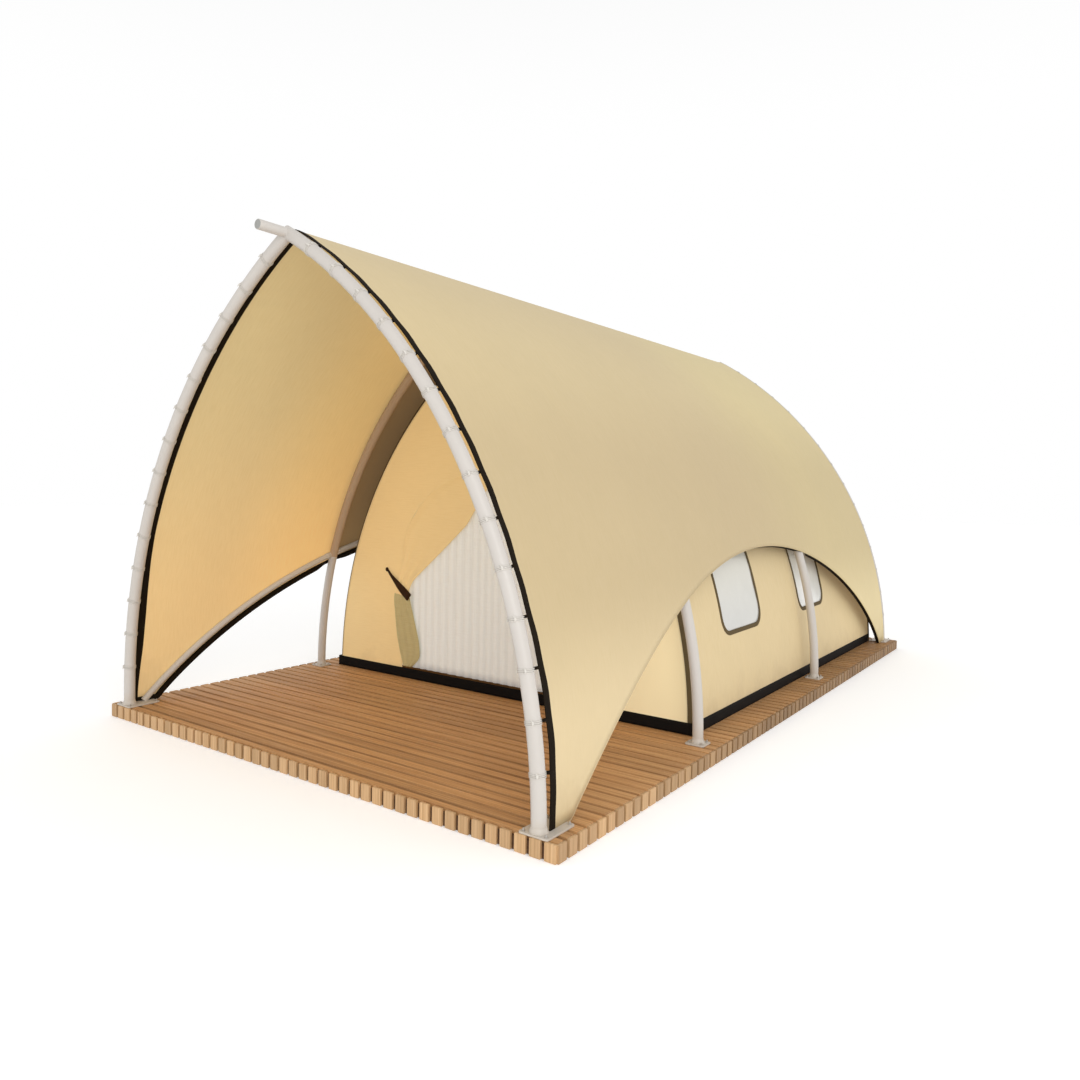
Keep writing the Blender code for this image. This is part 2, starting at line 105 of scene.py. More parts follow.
def join(*parts):
    """Several (points, faces) pairs as one."""
    starts = np.cumsum([0] + [len(points) for points, _ in parts]).tolist()
    faces = [[index + start for index in face] for (_, some), start in zip(parts, starts) for face in some]
    return np.concatenate([points for points, _ in parts]), faces


def face_outwards(mesh):
    """Turns every face of a closed mesh outwards."""
    shape = bmesh.new()
    shape.from_mesh(mesh)
    bmesh.ops.recalc_face_normals(shape, faces=shape.faces)
    shape.to_mesh(mesh)
    shape.free()


def unit(vectors):
    """Vectors, each over its own length."""
    return vectors / np.linalg.norm(vectors, axis=-1, keepdims=True)


# %% Pieces and sheets
def piece(name, shape, materials, replaces=(), uv=None, smooth_angle=40, closed=True, values=None):
    """An object from (points, faces), riding on the frame and standing for the solids it replaces."""
    points, faces = shape
    mesh = bpy.data.meshes.new(name)
    mesh.from_pydata(np.asarray(points, float).tolist(), [], faces)
    mesh.update()
    if closed:
        face_outwards(mesh)
    if uv is not None:
        corner = np.zeros(len(mesh.loops), np.int32)
        mesh.loops.foreach_get("vertex_index", corner)
        layer = mesh.uv_layers.new(name="cloth")
        layer.data.foreach_set("uv", np.asarray(uv, np.float32).reshape(-1, 2)[corner].ravel())
    for key, numbers in (values or {}).items():
        attribute = mesh.attributes.new(key, "FLOAT", "POINT")
        attribute.data.foreach_set("value", np.asarray(numbers, np.float32).ravel())
    mesh.shade_smooth()
    mesh.set_sharp_from_angle(angle=math.radians(smooth_angle))
    thing = bpy.data.objects.new(name, mesh)
    bpy.context.scene.collection.objects.link(thing)
    for material in materials if isinstance(materials, list) else [materials]:
        mesh.materials.append(material)
    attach(thing, "root")
    if replaces:
        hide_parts(*replaces)
    print(f"{name}: {len(mesh.vertices)} points, {len(mesh.polygons)} faces")
    return thing


def thicken(thing, thickness, inwards=False, far_material=0):
    """Cloth's thickness, laid on the outer side of its faces, or on the inner side."""
    wall = thing.modifiers.new("thickness", "SOLIDIFY")
    wall.thickness, wall.offset, wall.use_even_offset = thickness, -1.0 if inwards else 1.0, False
    wall.material_offset = far_material


def sheet(name, points, uv, materials, replaces, thickness, inwards=False, smooth_angle=70, keep=None,
          far_material=0, values=None):
    """Cloth from a grid of points (rows, columns, 3). Returns the object and the grid's area, which is the sum
    over its quads of half the cross product of their diagonals."""
    shape = points.reshape(-1, 3), grid_quads(*points.shape[:2], keep)
    thing = piece(name, shape, materials, replaces, uv, smooth_angle, False, values)
    thicken(thing, thickness, inwards, far_material)
    across, along = points[1:, 1:] - points[:-1, :-1], points[1:, :-1] - points[:-1, 1:]
    return thing, float(np.linalg.norm(np.cross(across, along), axis=-1).sum() / 2)


# %% [markdown]
# ## Shared shader groups
#
# Four effects show on more than one finish, so each is a node group built once: a woven cloth, a slow
# cloudy variation, timber grain, and the dust that gathers near the deck. The groups put out only values,
# and each material decides what to do with them.

# %% Node helpers
class Desk:
    """Short names for adding nodes to one tree: each call returns the new node's main output."""

    def __init__(self, tree):
        self.tree = tree

    def put(self, socket, value):
        if isinstance(value, bpy.types.NodeSocket):
            self.tree.links.new(value, socket)
        elif value is not None:
            socket.default_value = value

    def add(self, kind, values=(), **settings):
        """One node, its settings, and its inputs by place or by name. Returns all its outputs."""
        node = self.tree.nodes.new("ShaderNode" + kind)
        for key, value in settings.items():
            setattr(node, key, value)
        for key, value in values.items() if isinstance(values, dict) else enumerate(values):
            self.put(node.inputs[key], value)
        return node.outputs

    def math(self, operation, *values, clamp=False):
        return self.add("Math", values, operation=operation, use_clamp=clamp)[0]

    def vector(self, operation, first, second):
        return self.add("VectorMath", (first, second), operation=operation)[0]

    def scaled(self, vector, factor):
        return self.add("VectorMath", {0: vector, "Scale": factor}, operation="SCALE")[0]

    def noise(self, vector, scale, detail=3.0, roughness=0.5, distortion=0.0):
        return self.add("TexNoise", {"Vector": vector, "Scale": scale, "Detail": detail, "Roughness": roughness,
                                     "Distortion": distortion})[0]

    def wave(self, vector, scale, direction, distortion, detail, detail_scale):
        return self.add("TexWave", {"Vector": vector, "Scale": scale, "Distortion": distortion, "Detail": detail,
                                    "Detail Scale": detail_scale}, bands_direction=direction)["Fac"]

    def ramp(self, value, low, high, to_low=0.0, to_high=1.0, kind="SMOOTHSTEP"):
        return self.add("MapRange", (value, low, high, to_low, to_high), interpolation_type=kind)[0]

    def mix(self, share, first, second, blend="MIX"):
        """A mix of two colours: inputs 6 and 7 and output 2 are the node's colour sockets."""
        first, second = ((*v, 1.0) if isinstance(v, tuple) else v for v in (first, second))
        return self.add("Mix", {0: share, 6: first, 7: second}, data_type="RGBA", blend_type=blend)[2]

    def split(self, vector):
        return self.add("SeparateXYZ", (vector,))

    def merge(self, *parts):
        return self.add("CombineXYZ", parts)[0]

    def group(self, group, **values):
        return self.add("Group", values, node_tree=group)

    def bump(self, height, distance, strength, normal=None):
        return self.add("Bump", {"Height": height, "Distance": distance, "Strength": strength, "Normal": normal})[0]

    def where(self, kind="Object"):
        return self.add("TexCoord")[kind]

    def attribute(self, name):
        return self.add("Attribute", attribute_name=name)["Fac"]


# %% A helper for groups
def new_group(name, inputs, outputs):
    """A shader group. Inputs are {name: default}: a vector where the default is None, else a number. Outputs are
    numbers, by name. Returns the group, its desk, and the sockets to read from and to put into."""
    group = bpy.data.node_groups.new(name, "ShaderNodeTree")
    for key, value in inputs.items():
        kind = "NodeSocketVector" if value is None else "NodeSocketFloat"
        socket = group.interface.new_socket(name=key, in_out="INPUT", socket_type=kind)
        if value is not None:
            socket.default_value = value
    for key in outputs:
        group.interface.new_socket(name=key, in_out="OUTPUT", socket_type="NodeSocketFloat")
    source, sink = group.nodes.new("NodeGroupInput"), group.nodes.new("NodeGroupOutput")
    return group, Desk(group), source.outputs, sink.inputs


# %% The four groups
cloth_weave, desk, given, result = new_group("cloth_weave", {"Place": None, "Threads": 300.0}, ["Height", "Slub"])
warp, weft = (desk.wave(given["Place"], desk.math("DIVIDE", given["Threads"], 20.0), axis, 0.6, 1.0, 2.0)
              for axis in "XY")
desk.put(result["Height"], desk.math("MAXIMUM", warp, weft))
long_way = desk.vector("MULTIPLY", given["Place"], (6.0, 90.0, 1.0))
desk.put(result["Slub"], desk.noise(long_way, 1.0, 4.0, 0.6))

cloudy, desk, given, result = new_group("cloudy_tone", {"Place": None, "Size": 1.0, "Strength": 0.1}, ["Tone"])
broad = desk.noise(given["Place"], desk.math("DIVIDE", 1.0, given["Size"]), 3.0, 0.55, 0.4)
doubled = desk.math("MULTIPLY", given["Strength"], 2.0)
desk.put(result["Tone"], desk.math("MULTIPLY_ADD", desk.math("SUBTRACT", broad, 0.5), doubled, 1.0))

timber_grain, desk, given, result = new_group("timber_grain", {"Place": None, "Board": 0.0},
                                              ["Streak", "Ring", "Height"])
apart = desk.merge(desk.math("MULTIPLY", given["Board"], 37.0), desk.math("MULTIPLY", given["Board"], 11.0), 0.0)
shifted = desk.vector("ADD", given["Place"], apart)
streak = desk.noise(desk.vector("MULTIPLY", shifted, (1.2, 55.0, 55.0)), 1.0, 5.0, 0.62, 0.3)
ring = desk.wave(desk.vector("MULTIPLY", shifted, (0.5, 9.0, 9.0)), 1.4, "Y", 5.0, 3.0, 0.6)
desk.put(result["Streak"], streak)
desk.put(result["Ring"], ring)
desk.put(result["Height"], desk.math("MULTIPLY_ADD", streak, 0.6, desk.math("MULTIPLY", ring, 0.4)))

dust_low, desk, given, result = new_group("dust_near_deck", {"Place": None, "Height": 0.5}, ["Dust"])
lift = desk.math("SUBTRACT", desk.split(given["Place"])[2], 0.12)
patches = desk.noise(given["Place"], 3.5, 4.0, 0.6, 0.5)
reach = desk.math("MULTIPLY", given["Height"], desk.ramp(patches, 0.3, 0.75, 0.25, 1.3))
desk.put(result["Dust"], desk.math("SUBTRACT", 1.0, desk.math("DIVIDE", lift, reach, clamp=True), clamp=True))
print("groups:", [g.name for g in bpy.data.node_groups])

# %% [markdown]
# ## Finishes
#
# The membrane is a coated cloth, cream outside. Inside it is painted golden and given a painted glow, emission
# that stands for the daylight that comes through it, with painted shade beyond the front rib, and both faces are
# painted lighter and darker by height and along the tent. The inner tent is canvas of the same family, with a
# painted glow towards the rear, a lit copy with a painted pool of daylight for its front and a shaded copy for
# the door cloths' reverse. Its windows are milky film in dark bindings, its doorway has a fine net curtain with
# painted shade in its pleats and a painted glow, and a black strip of coated cloth runs round its foot. The steel
# is off-white paint and the deck is oiled softwood. Colours are written as a screen shows them, from 0 to 255.

# %% Helpers for finishes
def linear(color):
    """A screen's colour as the linear values that a shader takes."""
    share = np.array(color) / 255
    return tuple(np.where(share <= 0.04045, share / 12.92, ((share + 0.055) / 1.055) ** 2.4).tolist())


def finish(name):
    """A new material, a desk for its nodes and its shader's inputs."""
    material = bpy.data.materials.new(name)
    material.use_nodes = True
    return material, Desk(material.node_tree), material.node_tree.nodes["Principled BSDF"].inputs


print("a screen's middle grey, linear:", round(linear((128, 128, 128))[0], 3))


# %% Woven cloth
def cloth_finish(name, color, shade, roughness, threads, crumple, dust=None, sheen=0.0, glow=0.0, glow_from=None,
                 beyond=None, painted_fades=(), specular=0.5):
    """Woven cloth: a colour with a slow variation, a shade in its slubs, threads and slow waves as bump. Glow is
    a painted glow, emission that stands for the daylight that comes through the cloth, which grows between the two
    places glow_from along the tent. Beyond is (axis, from, to, colour, glow's colour): between the two places the
    colour and glow turn to these, painted light and shade by place: a painted pool of daylight on one finish and
    painted shade on another. A painted fade is (axis, from, to, factor): painted light and shade, the colour is
    multiplied by the factor from one place to the other."""
    material, desk, shader = finish(name)
    place = desk.where()
    tone = desk.group(cloudy, Place=place, Size=0.9, Strength=0.035)["Tone"]
    fine = desk.group(cloudy, Place=place, Size=0.12, Strength=0.02)["Tone"]
    weave = desk.group(cloth_weave, Place=desk.where("UV"), Threads=threads)
    body = desk.mix(desk.ramp(weave["Slub"], 0.35, 0.75), linear(color), linear(shade))
    if dust:
        mask = desk.group(dust_low, Place=place, Height=dust)["Dust"]
        body = desk.mix(desk.math("MULTIPLY", mask, 0.28), body, linear((176, 150, 112)))
    base = desk.scaled(body, desk.math("MULTIPLY", tone, fine))
    # Painted light and shade: the colour is made lighter and darker by height and along the tent.
    for axis, low, high, factor in painted_fades:
        base = desk.mix(desk.ramp(desk.split(place)[axis], low, high), base, factor, "MULTIPLY")
    lit = base
    # Painted glow: emission that stands for daylight through the cloth, growing along the tent.
    if glow_from:
        lit = desk.mix(desk.ramp(desk.split(place)[1], *glow_from), (0.0, 0.0, 0.0), base)
    # Painted light and shade by place: beyond a place the colour and glow turn to other painted tones.
    if beyond:
        axis, low, high, *painted_tones = beyond
        share = desk.ramp(desk.split(place)[axis], low, high)
        base, lit = [desk.mix(share, base, linear(other)) for other in painted_tones]
    desk.put(shader["Base Color"], base)
    desk.put(shader["Roughness"], desk.ramp(weave["Slub"], 0.2, 0.8, roughness - 0.05, roughness + 0.05))
    soft = desk.bump(desk.noise(place, 2.2, 3.0, 0.5, 0.6), crumple, 0.6)
    desk.put(shader["Normal"], desk.bump(weave["Height"], 0.0004, 0.35, soft))
    shader["Specular IOR Level"].default_value = specular
    shader["Sheen Weight"].default_value = sheen
    if glow:
        desk.put(shader["Emission Color"], lit)
        shader["Emission Strength"].default_value = glow
    return material


# %% The cloths
# Painted light and shade on the outside: darker from 0.6 m upwards, a little lighter again towards the ridge, and
# lighter towards the rear.
membrane = cloth_finish("membrane_outside", (214, 193, 151), (212, 191, 148), 0.55, 220.0, 0.010, 0.35,
                        painted_fades=((2, 0.6, 1.6, (0.80, 0.78, 0.74)), (2, 2.3, 3.5, (1.16, 1.19, 1.19)),
                               (1, -0.5, 2.5, (1.10, 1.13, 1.04))))
# Painted light and shade inside: a painted glow for the daylight through the cloth, painted shade beyond the front rib
# where the inner tent keeps the light out, greyer and darker towards the top, and lighter and warmer from y -3.6 m
# rearwards.
membrane_inside = cloth_finish("membrane_inside", (224, 194, 140), (220, 189, 134), 0.6, 220.0, 0.010, 0.5, glow=0.26,
                               beyond=(1, -2.03, -1.97, (154, 128, 88), (130, 108, 78)),
                               painted_fades=((2, 0.9, 3.4, (0.79, 0.885, 0.965)), (1, -3.6, -2.4, (1.15, 1.09, 0.97))))
# A painted glow on the inner tent's walls, from y 1.6 m towards the rear: emission that stands for daylight through the
# canopy.
canvas = cloth_finish("canvas", (217, 195, 150), (213, 190, 143), 0.8, 320.0, 0.010, 0.35, 0.1, 0.20, (1.6, 4.1))
# A lit copy of the canvas for the front wall and door cloths: a stronger painted glow, and from x 1.15 m a paler
# painted pool of daylight on their right.
canvas_lit = cloth_finish("canvas_lit_through", (228, 200, 145), (225, 196, 140), 0.8, 320.0, 0.010, 0.35, 0.1, 0.23,
                          beyond=(0, 1.15, 1.50, (232, 216, 172), (222, 206, 168)))
# A shaded copy of the canvas, with no glow, for the reverse of the door cloths' tails: painted shade.
canvas_back_shaded = cloth_finish("canvas_reverse_painted_shade", (203, 190, 140), (196, 182, 131), 0.85, 320.0, 0.008)
# Tan on the front rib above the side arc: painted shade where the tube runs behind the canopy.
rib_painted_shade = cloth_finish("rib_painted_shade", (180, 157, 132), (171, 148, 122), 0.8, 260.0, 0.003)
dark_strip = cloth_finish("dark_coated_strip", (17, 13, 10), (12, 9, 7), 0.75, 260.0, 0.004, specular=0.15)
brown_binding = cloth_finish("brown_binding", (96, 80, 52), (84, 70, 44), 0.8, 260.0, 0.002, specular=0.2)
edge_webbing = cloth_finish("edge_webbing", (30, 23, 14), (23, 17, 11), 0.85, 200.0, 0.001, specular=0.08)
rope_cloth = cloth_finish("lacing_rope", (212, 207, 199), (196, 191, 183), 0.8, 500.0, 0.001)
tie_cloth = cloth_finish("brown_tie_cloth", (58, 36, 18), (44, 27, 14), 0.85, 300.0, 0.002, specular=0.15)
print("cloth finishes:", len(bpy.data.materials))


# %% Net and film
def net_finish():
    """A fine net of pale threads, with painted shade, a warm grey, in the hollows of its pleats, and a painted glow for
    the light through it.
    """
    material, desk, shader = finish("net_curtain_cloth")
    weave = desk.group(cloth_weave, Place=desk.where("UV"), Threads=420.0)
    threads = desk.mix(desk.ramp(weave["Slub"], 0.3, 0.8), linear((234, 236, 233)), linear((229, 230, 226)))
    # Painted shade: the hollows of the pleats are mixed with a warm grey.
    folds = desk.ramp(desk.attribute("fold"), -0.9, 0.9)
    desk.put(shader["Base Color"], desk.mix(folds, desk.mix(0.20, threads, linear((184, 182, 176))), threads))
    desk.put(shader["Roughness"], desk.ramp(weave["Slub"], 0.2, 0.8, 0.75, 0.9))
    desk.put(shader["Normal"], desk.bump(weave["Height"], 0.0003, 0.15))
    shader["Sheen Weight"].default_value = 0.15
    # A painted glow: the net glows as if lit through.
    shader["Emission Strength"].default_value = 0.22
    shader["Emission Color"].default_value = (*linear((212, 214, 210)), 1.0)
    return material


def film_finish():
    """Milky clear film that hangs in slow ripples, lighter towards its top, painted darker in the front window and
    lighter in the rear one: painted light and shade.
    """
    material, desk, shader = finish("window_film")
    place = desk.where()
    _, along, up = desk.split(place)
    tone = desk.group(cloudy, Place=place, Size=0.25, Strength=0.05)["Tone"]
    body = desk.mix(desk.ramp(up, 0.85, 1.7), linear((212, 211, 206)), linear((228, 224, 210)))
    # Painted light and shade: darker at the front window, lighter at the rear one.
    painted_light_rearwards = desk.math("MULTIPLY", tone, desk.ramp(along, 0.2, 1.2, 0.89, 1.18))
    desk.put(shader["Base Color"], desk.scaled(body, painted_light_rearwards))
    desk.put(shader["Roughness"], desk.ramp(desk.noise(place, 9.0), 0.3, 0.7, 0.16, 0.26))
    desk.put(shader["Normal"], desk.bump(desk.noise(place, 3.0, 2.0, 0.5, 0.8), 0.012, 0.5))
    return material


net_cloth = net_finish()
window_film = film_finish()
print("net and film:", net_cloth.name, window_film.name)


# %% Steel and timber
def steel_finish(name, color, roughness=0.42, metal=0.0):
    """Paint or zinc on steel: faint orange peel, a slow change of tone, and dust near the deck."""
    material, desk, shader = finish(name)
    place = desk.where()
    tone = desk.group(cloudy, Place=place, Size=0.35, Strength=0.04)["Tone"]
    dust = desk.group(dust_low, Place=place, Height=0.25)["Dust"]
    body = desk.mix(desk.math("MULTIPLY", dust, 0.35), linear(color), linear((190, 172, 146)))
    desk.put(shader["Base Color"], desk.scaled(body, tone))
    desk.put(shader["Roughness"], desk.ramp(desk.noise(place, 40.0), 0.3, 0.7, roughness - 0.06, roughness + 0.08))
    desk.put(shader["Normal"], desk.bump(desk.noise(place, 160.0, 2.0), 0.0004, 0.3))
    shader["Metallic"].default_value = metal
    return material


def timber_finish(name, light, dark, deep, upright=False, painted_shade_rearwards=None):
    """Oiled softwood: streaks and rings along the board, each board with its own tone. Rearwards is (from, to,
    factor): painted shade, the colour is multiplied by the factor from one place along the tent to the other."""
    material, desk, shader = finish(name)
    place = desk.where()
    x, y, z = desk.split(place)
    board = desk.attribute("board")
    grain = desk.group(timber_grain, Place=desk.merge(z, x, y) if upright else place, Board=board)
    body = desk.mix(desk.ramp(grain["Streak"], 0.32, 0.68), linear(light), linear(dark))
    body = desk.mix(desk.math("MULTIPLY", desk.ramp(grain["Ring"], 0.55, 0.95), 0.26), body, linear(deep))
    # Painted shade: darker from one place along the tent to the other.
    if painted_shade_rearwards:
        low, high, factor = painted_shade_rearwards
        body = desk.mix(desk.ramp(y, low, high), body, factor, "MULTIPLY")
    desk.put(shader["Base Color"], desk.scaled(body, desk.ramp(board, 0.0, 1.0, 0.86, 1.14, "LINEAR")))
    desk.put(shader["Roughness"], desk.ramp(grain["Streak"], 0.2, 0.8, 0.52, 0.72))
    desk.put(shader["Normal"], desk.bump(grain["Height"], 0.0016, 0.5))
    return material


white_steel = steel_finish("white_painted_steel", (196, 190, 183))
bolt_steel = steel_finish("zinc_plated_steel", (196, 196, 196), 0.35, 0.8)
tube_end = steel_finish("grey_end_cap", (150, 150, 146), 0.5)
# The boards and the side slats are painted darker towards the rear: painted shade.
board_timber = timber_finish("deck_board_timber", (208, 159, 105), (181, 132, 83), (136, 93, 56),
                             painted_shade_rearwards=(-2.5, 2.5, (0.66, 0.65, 0.58)))
slat_timber = timber_finish("slat_timber", (205, 168, 124), (184, 147, 103), (146, 108, 71), True,
                            painted_shade_rearwards=(-4.3, -0.6, (0.50, 0.46, 0.40)))
# Dark timber, a shaded copy of the deck's wood: painted shade for the board behind the slats and for the hidden
# bearers.
shaded_beam_timber = timber_finish("beam_timber_painted_shade", (96, 66, 42), (80, 54, 34), (60, 40, 25))
print("finishes:", len(bpy.data.materials))

# %% [markdown]
# ## The deck
#
# The deck is 5 m by 9 m and 120 mm high. Its boards lie across it, 120 mm from one to the next, with gaps
# between them over a black sheet, painted shade for the dark space under them, and upright slats hide its edges
# in front of a dark board, also painted shade: on the long sides one slat stands at each board's end, and on the
# short sides they stand a little closer. Boards and slats are painted darker towards the rear. A board is a
# rounded outline carried along a straight path, and all of them are one array, so a small step in height costs
# nothing.

# %% Deck boards
DECK_TOP = 0.12
HALF_WIDTH, HALF_LENGTH = 2.5, 4.5
BOARDS, BOARD_GAP, BOARD_THICKNESS = 75, 0.033, 0.028
SLAT, SLAT_GAP, SLATS_ACROSS = 0.022, 0.030, 45
CORNERS = np.array([[-1, -1], [1, -1], [1, 1], [-1, 1]])
rng = np.random.default_rng(4)


def rounded_outline(width, height, radius, steps=3):
    """A rectangle's outline with round corners, centred, anticlockwise: quarter circles joined by lines."""
    turn = (np.arange(4)[:, None] + np.linspace(0, 1, steps + 1)) * np.pi / 2
    sign = np.array([[1, 1], [-1, 1], [-1, -1], [1, -1]])[:, None, :]
    middle = sign * (np.array([width, height]) / 2 - radius)
    return (middle + radius * np.stack([np.cos(turn), np.sin(turn)], -1)).reshape(-1, 2)


def planks(middles, widths, axes, length, thickness, radius):
    """Straight boards, one for each middle point: a rounded outline of (across, up) at four stations along
    the board, drawn in by the radius at the two ends. Axes are the directions along, across and up."""
    outline = rounded_outline(1.0, thickness, radius)
    stations = np.array([-0.5 * length, -0.5 * length + radius, 0.5 * length - radius, 0.5 * length])
    shrink = np.array([radius, 0.0, 0.0, radius])[:, None]
    spread = outline[:, 0] * widths[:, None, None] - np.sign(outline[:, 0]) * shrink
    rise = np.broadcast_to(outline[:, 1] - np.sign(outline[:, 1]) * shrink, spread.shape)
    runs = np.broadcast_to(stations[:, None], spread.shape)
    return middles[:, None, None, :] + np.stack([runs, spread, rise], -1) @ np.array(axes, float)


def timber(name, rings, tones, material, replaces=()):
    """Boards as one piece, each with its own number for the grain."""
    tones = np.repeat(tones, rings.shape[1] * rings.shape[2])
    piece(name, loft(rings), material, replaces, values={"board": tones})


edges = -HALF_LENGTH + 2 * HALF_LENGTH / BOARDS * np.arange(BOARDS + 1)
low, high = np.maximum(edges[:-1], -HALF_LENGTH + SLAT), np.minimum(edges[1:], HALF_LENGTH - SLAT)
height = DECK_TOP - BOARD_THICKNESS / 2 - rng.uniform(0.0, 0.0012, BOARDS)
rings = planks(np.stack([np.zeros(BOARDS), (low + high) / 2, height], -1), high - low - BOARD_GAP, np.eye(3),
               2 * (HALF_WIDTH - SLAT) - 0.004, BOARD_THICKNESS, 0.005)
timber("deck_boards", rings, rng.uniform(0, 1, BOARDS), board_timber, ["deck_floor"])

# A black sheet under the boards: painted shade that stands for the dark space under the gaps.
under = (np.array([HALF_WIDTH, HALF_LENGTH]) - SLAT - 0.03) * CORNERS
gap_shade = np.stack([np.column_stack([under, np.full(4, z)]) for z in (0.0885, 0.0900)])[None]
piece("deck_gap_shade_sheet", loft(gap_shade), dark_strip)


# %% Edge slats
def slat_row(name, start, end, outward, count):
    """Upright slats in a row from one deck corner to the next, and the board behind them."""
    start, end, outward = (np.array([*v, 0.0]) for v in (start, end, outward))
    length = np.linalg.norm(end - start)
    along, step = (end - start) / length, length / count
    places = start + along * (step * (np.arange(count)[:, None] + 0.5)) - outward * SLAT / 2
    widths = np.full(count, step - SLAT_GAP) + rng.uniform(-0.002, 0.002, count)
    rings = planks(places + np.array([0, 0, DECK_TOP / 2]), widths, [(0, 0, 1), along, outward],
                   DECK_TOP - 0.001, SLAT, 0.004)
    timber(f"deck_{name}_slats", rings, rng.uniform(0, 1, count), slat_timber, [f"deck_fascia_{name}"])
    # The board behind the slats is dark timber, painted shade that shows through the gaps.
    behind = (start + end) / 2 - outward * (SLAT + 0.014) + np.array([0, 0, 0.046])
    board = planks(behind[None, :], np.array([0.090]), [along, (0, 0, 1), outward], length - 2 * SLAT, 0.024, 0.003)
    timber(f"deck_{name}_board", board, [0.5], shaded_beam_timber)


W, L = HALF_WIDTH, HALF_LENGTH
slat_row("front", (-W, -L), (W, -L), (0, -1), SLATS_ACROSS)
slat_row("rear", (W, L), (-W, L), (0, 1), SLATS_ACROSS)
slat_row("right", (W, -L), (W, L), (1, 0), BOARDS)
slat_row("left", (-W, L), (-W, -L), (-1, 0), BOARDS)
for name in ("left", "middle", "right"):
    bearer = nodes[f"deck_bearer_{name}"].data.materials
    bearer.clear()
    bearer.append(shaded_beam_timber)

# %% [markdown]
# ## The pointed arch
#
# Everything above the deck follows one curve. Each half of the arch is an arc of a circle whose centre lies
# at deck level beyond the middle, so the radius is (half span squared plus rise squared) over twice the half
# span. A place on it is the turn, the angle up from the foot. The tubes follow the curve itself, and cloth
# lies outside it by an offset and is rounded over the ridge.

# %% Arch functions
OUTER, INNER = (2.31, 3.99), (2.19, 3.75)
HALF_SPAN, RISE = OUTER
FRONT_LEAN, REAR_LEAN = 0.0135, 0.118
RIB_TUBE, END_TUBE = 0.0445, 0.050
FRONT_RIB, REAR_RIB = -2.03, 1.20
ARCHES = {"front_arch": (-4.42, FRONT_LEAN, END_TUBE), "front_rib": (FRONT_RIB, 0.0, RIB_TUBE),
          "rear_rib": (REAR_RIB, 0.0, RIB_TUBE), "rear_arch": (4.37, REAR_LEAN, END_TUBE)}
SIDES = (("left", -1), ("right", 1))


def arch_radius(half, rise):
    """The radius of each half: (half span squared plus rise squared) over twice the half span."""
    return (half ** 2 + rise ** 2) / (2 * half)


def crown_turn(half, rise, offset=0.0):
    """The angle from the foot to the crown, where the offset arc reaches the middle."""
    radius = arch_radius(half, rise)
    return np.arccos((radius - half) / (radius + offset))


def arch_at_turn(half, rise, turn, side, offset=0.0, crown=0.0):
    """(x, z above the deck) at a turn; crown rounds the point with x -> root(x2 + crown2)."""
    radius = arch_radius(half, rise)
    x = half - radius + (radius + offset) * np.cos(turn)
    eased = np.sqrt(x ** 2 + crown ** 2)
    z = np.sqrt(np.maximum((radius + offset) ** 2 - (eased + radius - half) ** 2, 0.0))
    return side * x, z


def turn_at_height(half, rise, z, offset=0.0):
    """The turn whose sine is the height over the offset arc's radius."""
    return np.arcsin(np.clip(z / (arch_radius(half, rise) + offset), 0, 1))


def half_width(half, rise, z, offset=0.0):
    """The half width at a height: the arc's centre plus the root of radius squared less height squared."""
    radius = arch_radius(half, rise)
    return half - radius + np.sqrt((radius + offset) ** 2 - z ** 2)


def outward(side, turn):
    """The direction that points out of the arch at a turn."""
    return np.stack([side * np.cos(turn), np.zeros_like(turn), np.sin(turn)], -1)


print("arch radius:", round(arch_radius(*OUTER), 3), "crown turn:", round(math.degrees(crown_turn(*OUTER)), 2))


# %% Paths and outlines
def sweep(path, first, second, outline, scale=1.0):
    """An outline of (first, second) carried along a path of points: rings for loft."""
    first, second = (np.broadcast_to(np.asarray(v, float), path.shape)[:, None, :] for v in (first, second))
    outline = outline * np.broadcast_to(scale, len(path))[:, None, None]
    return (path[:, None, :] + outline[..., :1] * first + outline[..., 1:] * second)[None]


def directions(path, hint):
    """Unit vectors across a path: its tangent by central differences, crossed with a hint and again."""
    tangent = unit(np.gradient(path, axis=0))
    first = unit(np.cross(tangent, np.broadcast_to(np.asarray(hint, float), path.shape)))
    return first, np.cross(tangent, first), tangent


def ease(value, low, high):
    """A smooth step from 0 at low to 1 at high."""
    t = np.clip((value - low) / (high - low), 0, 1)
    return t * t * (3 - 2 * t)


def even(line, count):
    """A line of points, respaced evenly along its length."""
    run = np.concatenate([[0], np.cumsum(np.linalg.norm(np.diff(line, axis=0), axis=1))])
    where = np.linspace(0, run[-1], count)
    return np.stack([np.interp(where, run, line[:, k]) for k in range(line.shape[1])], -1)


def circle(radius, sides=24):
    """Points round a circle at equal angles: radius times (cosine, sine)."""
    turn = 2 * np.pi * np.arange(sides) / sides
    return radius * np.stack([np.cos(turn), np.sin(turn)], -1)


# %% [markdown]
# ## Steel arches on their foot plates
#
# Each arch is two bent tubes that meet at the ridge tube: 100 mm thick at the two ends, where the canopy is
# laced, and 89 mm between them. A tube is a circle carried along the arch, and its last ring is slid along
# the tube onto the middle plane, which makes the mitre. Its foot stands in a short welded collar on a plate
# with four bolts. Under the front and rear arches the plates are longer, because the side rails land on
# them too. Above the side arc the front rib is painted tan where it runs behind the canopy: painted shade.

# %% Arches, plates and bolts
PLATE_THICKNESS, PAINTED_SHADE_FROM = 0.012, 1.42
CROWN_TOP = DECK_TOP + RISE + 0.037


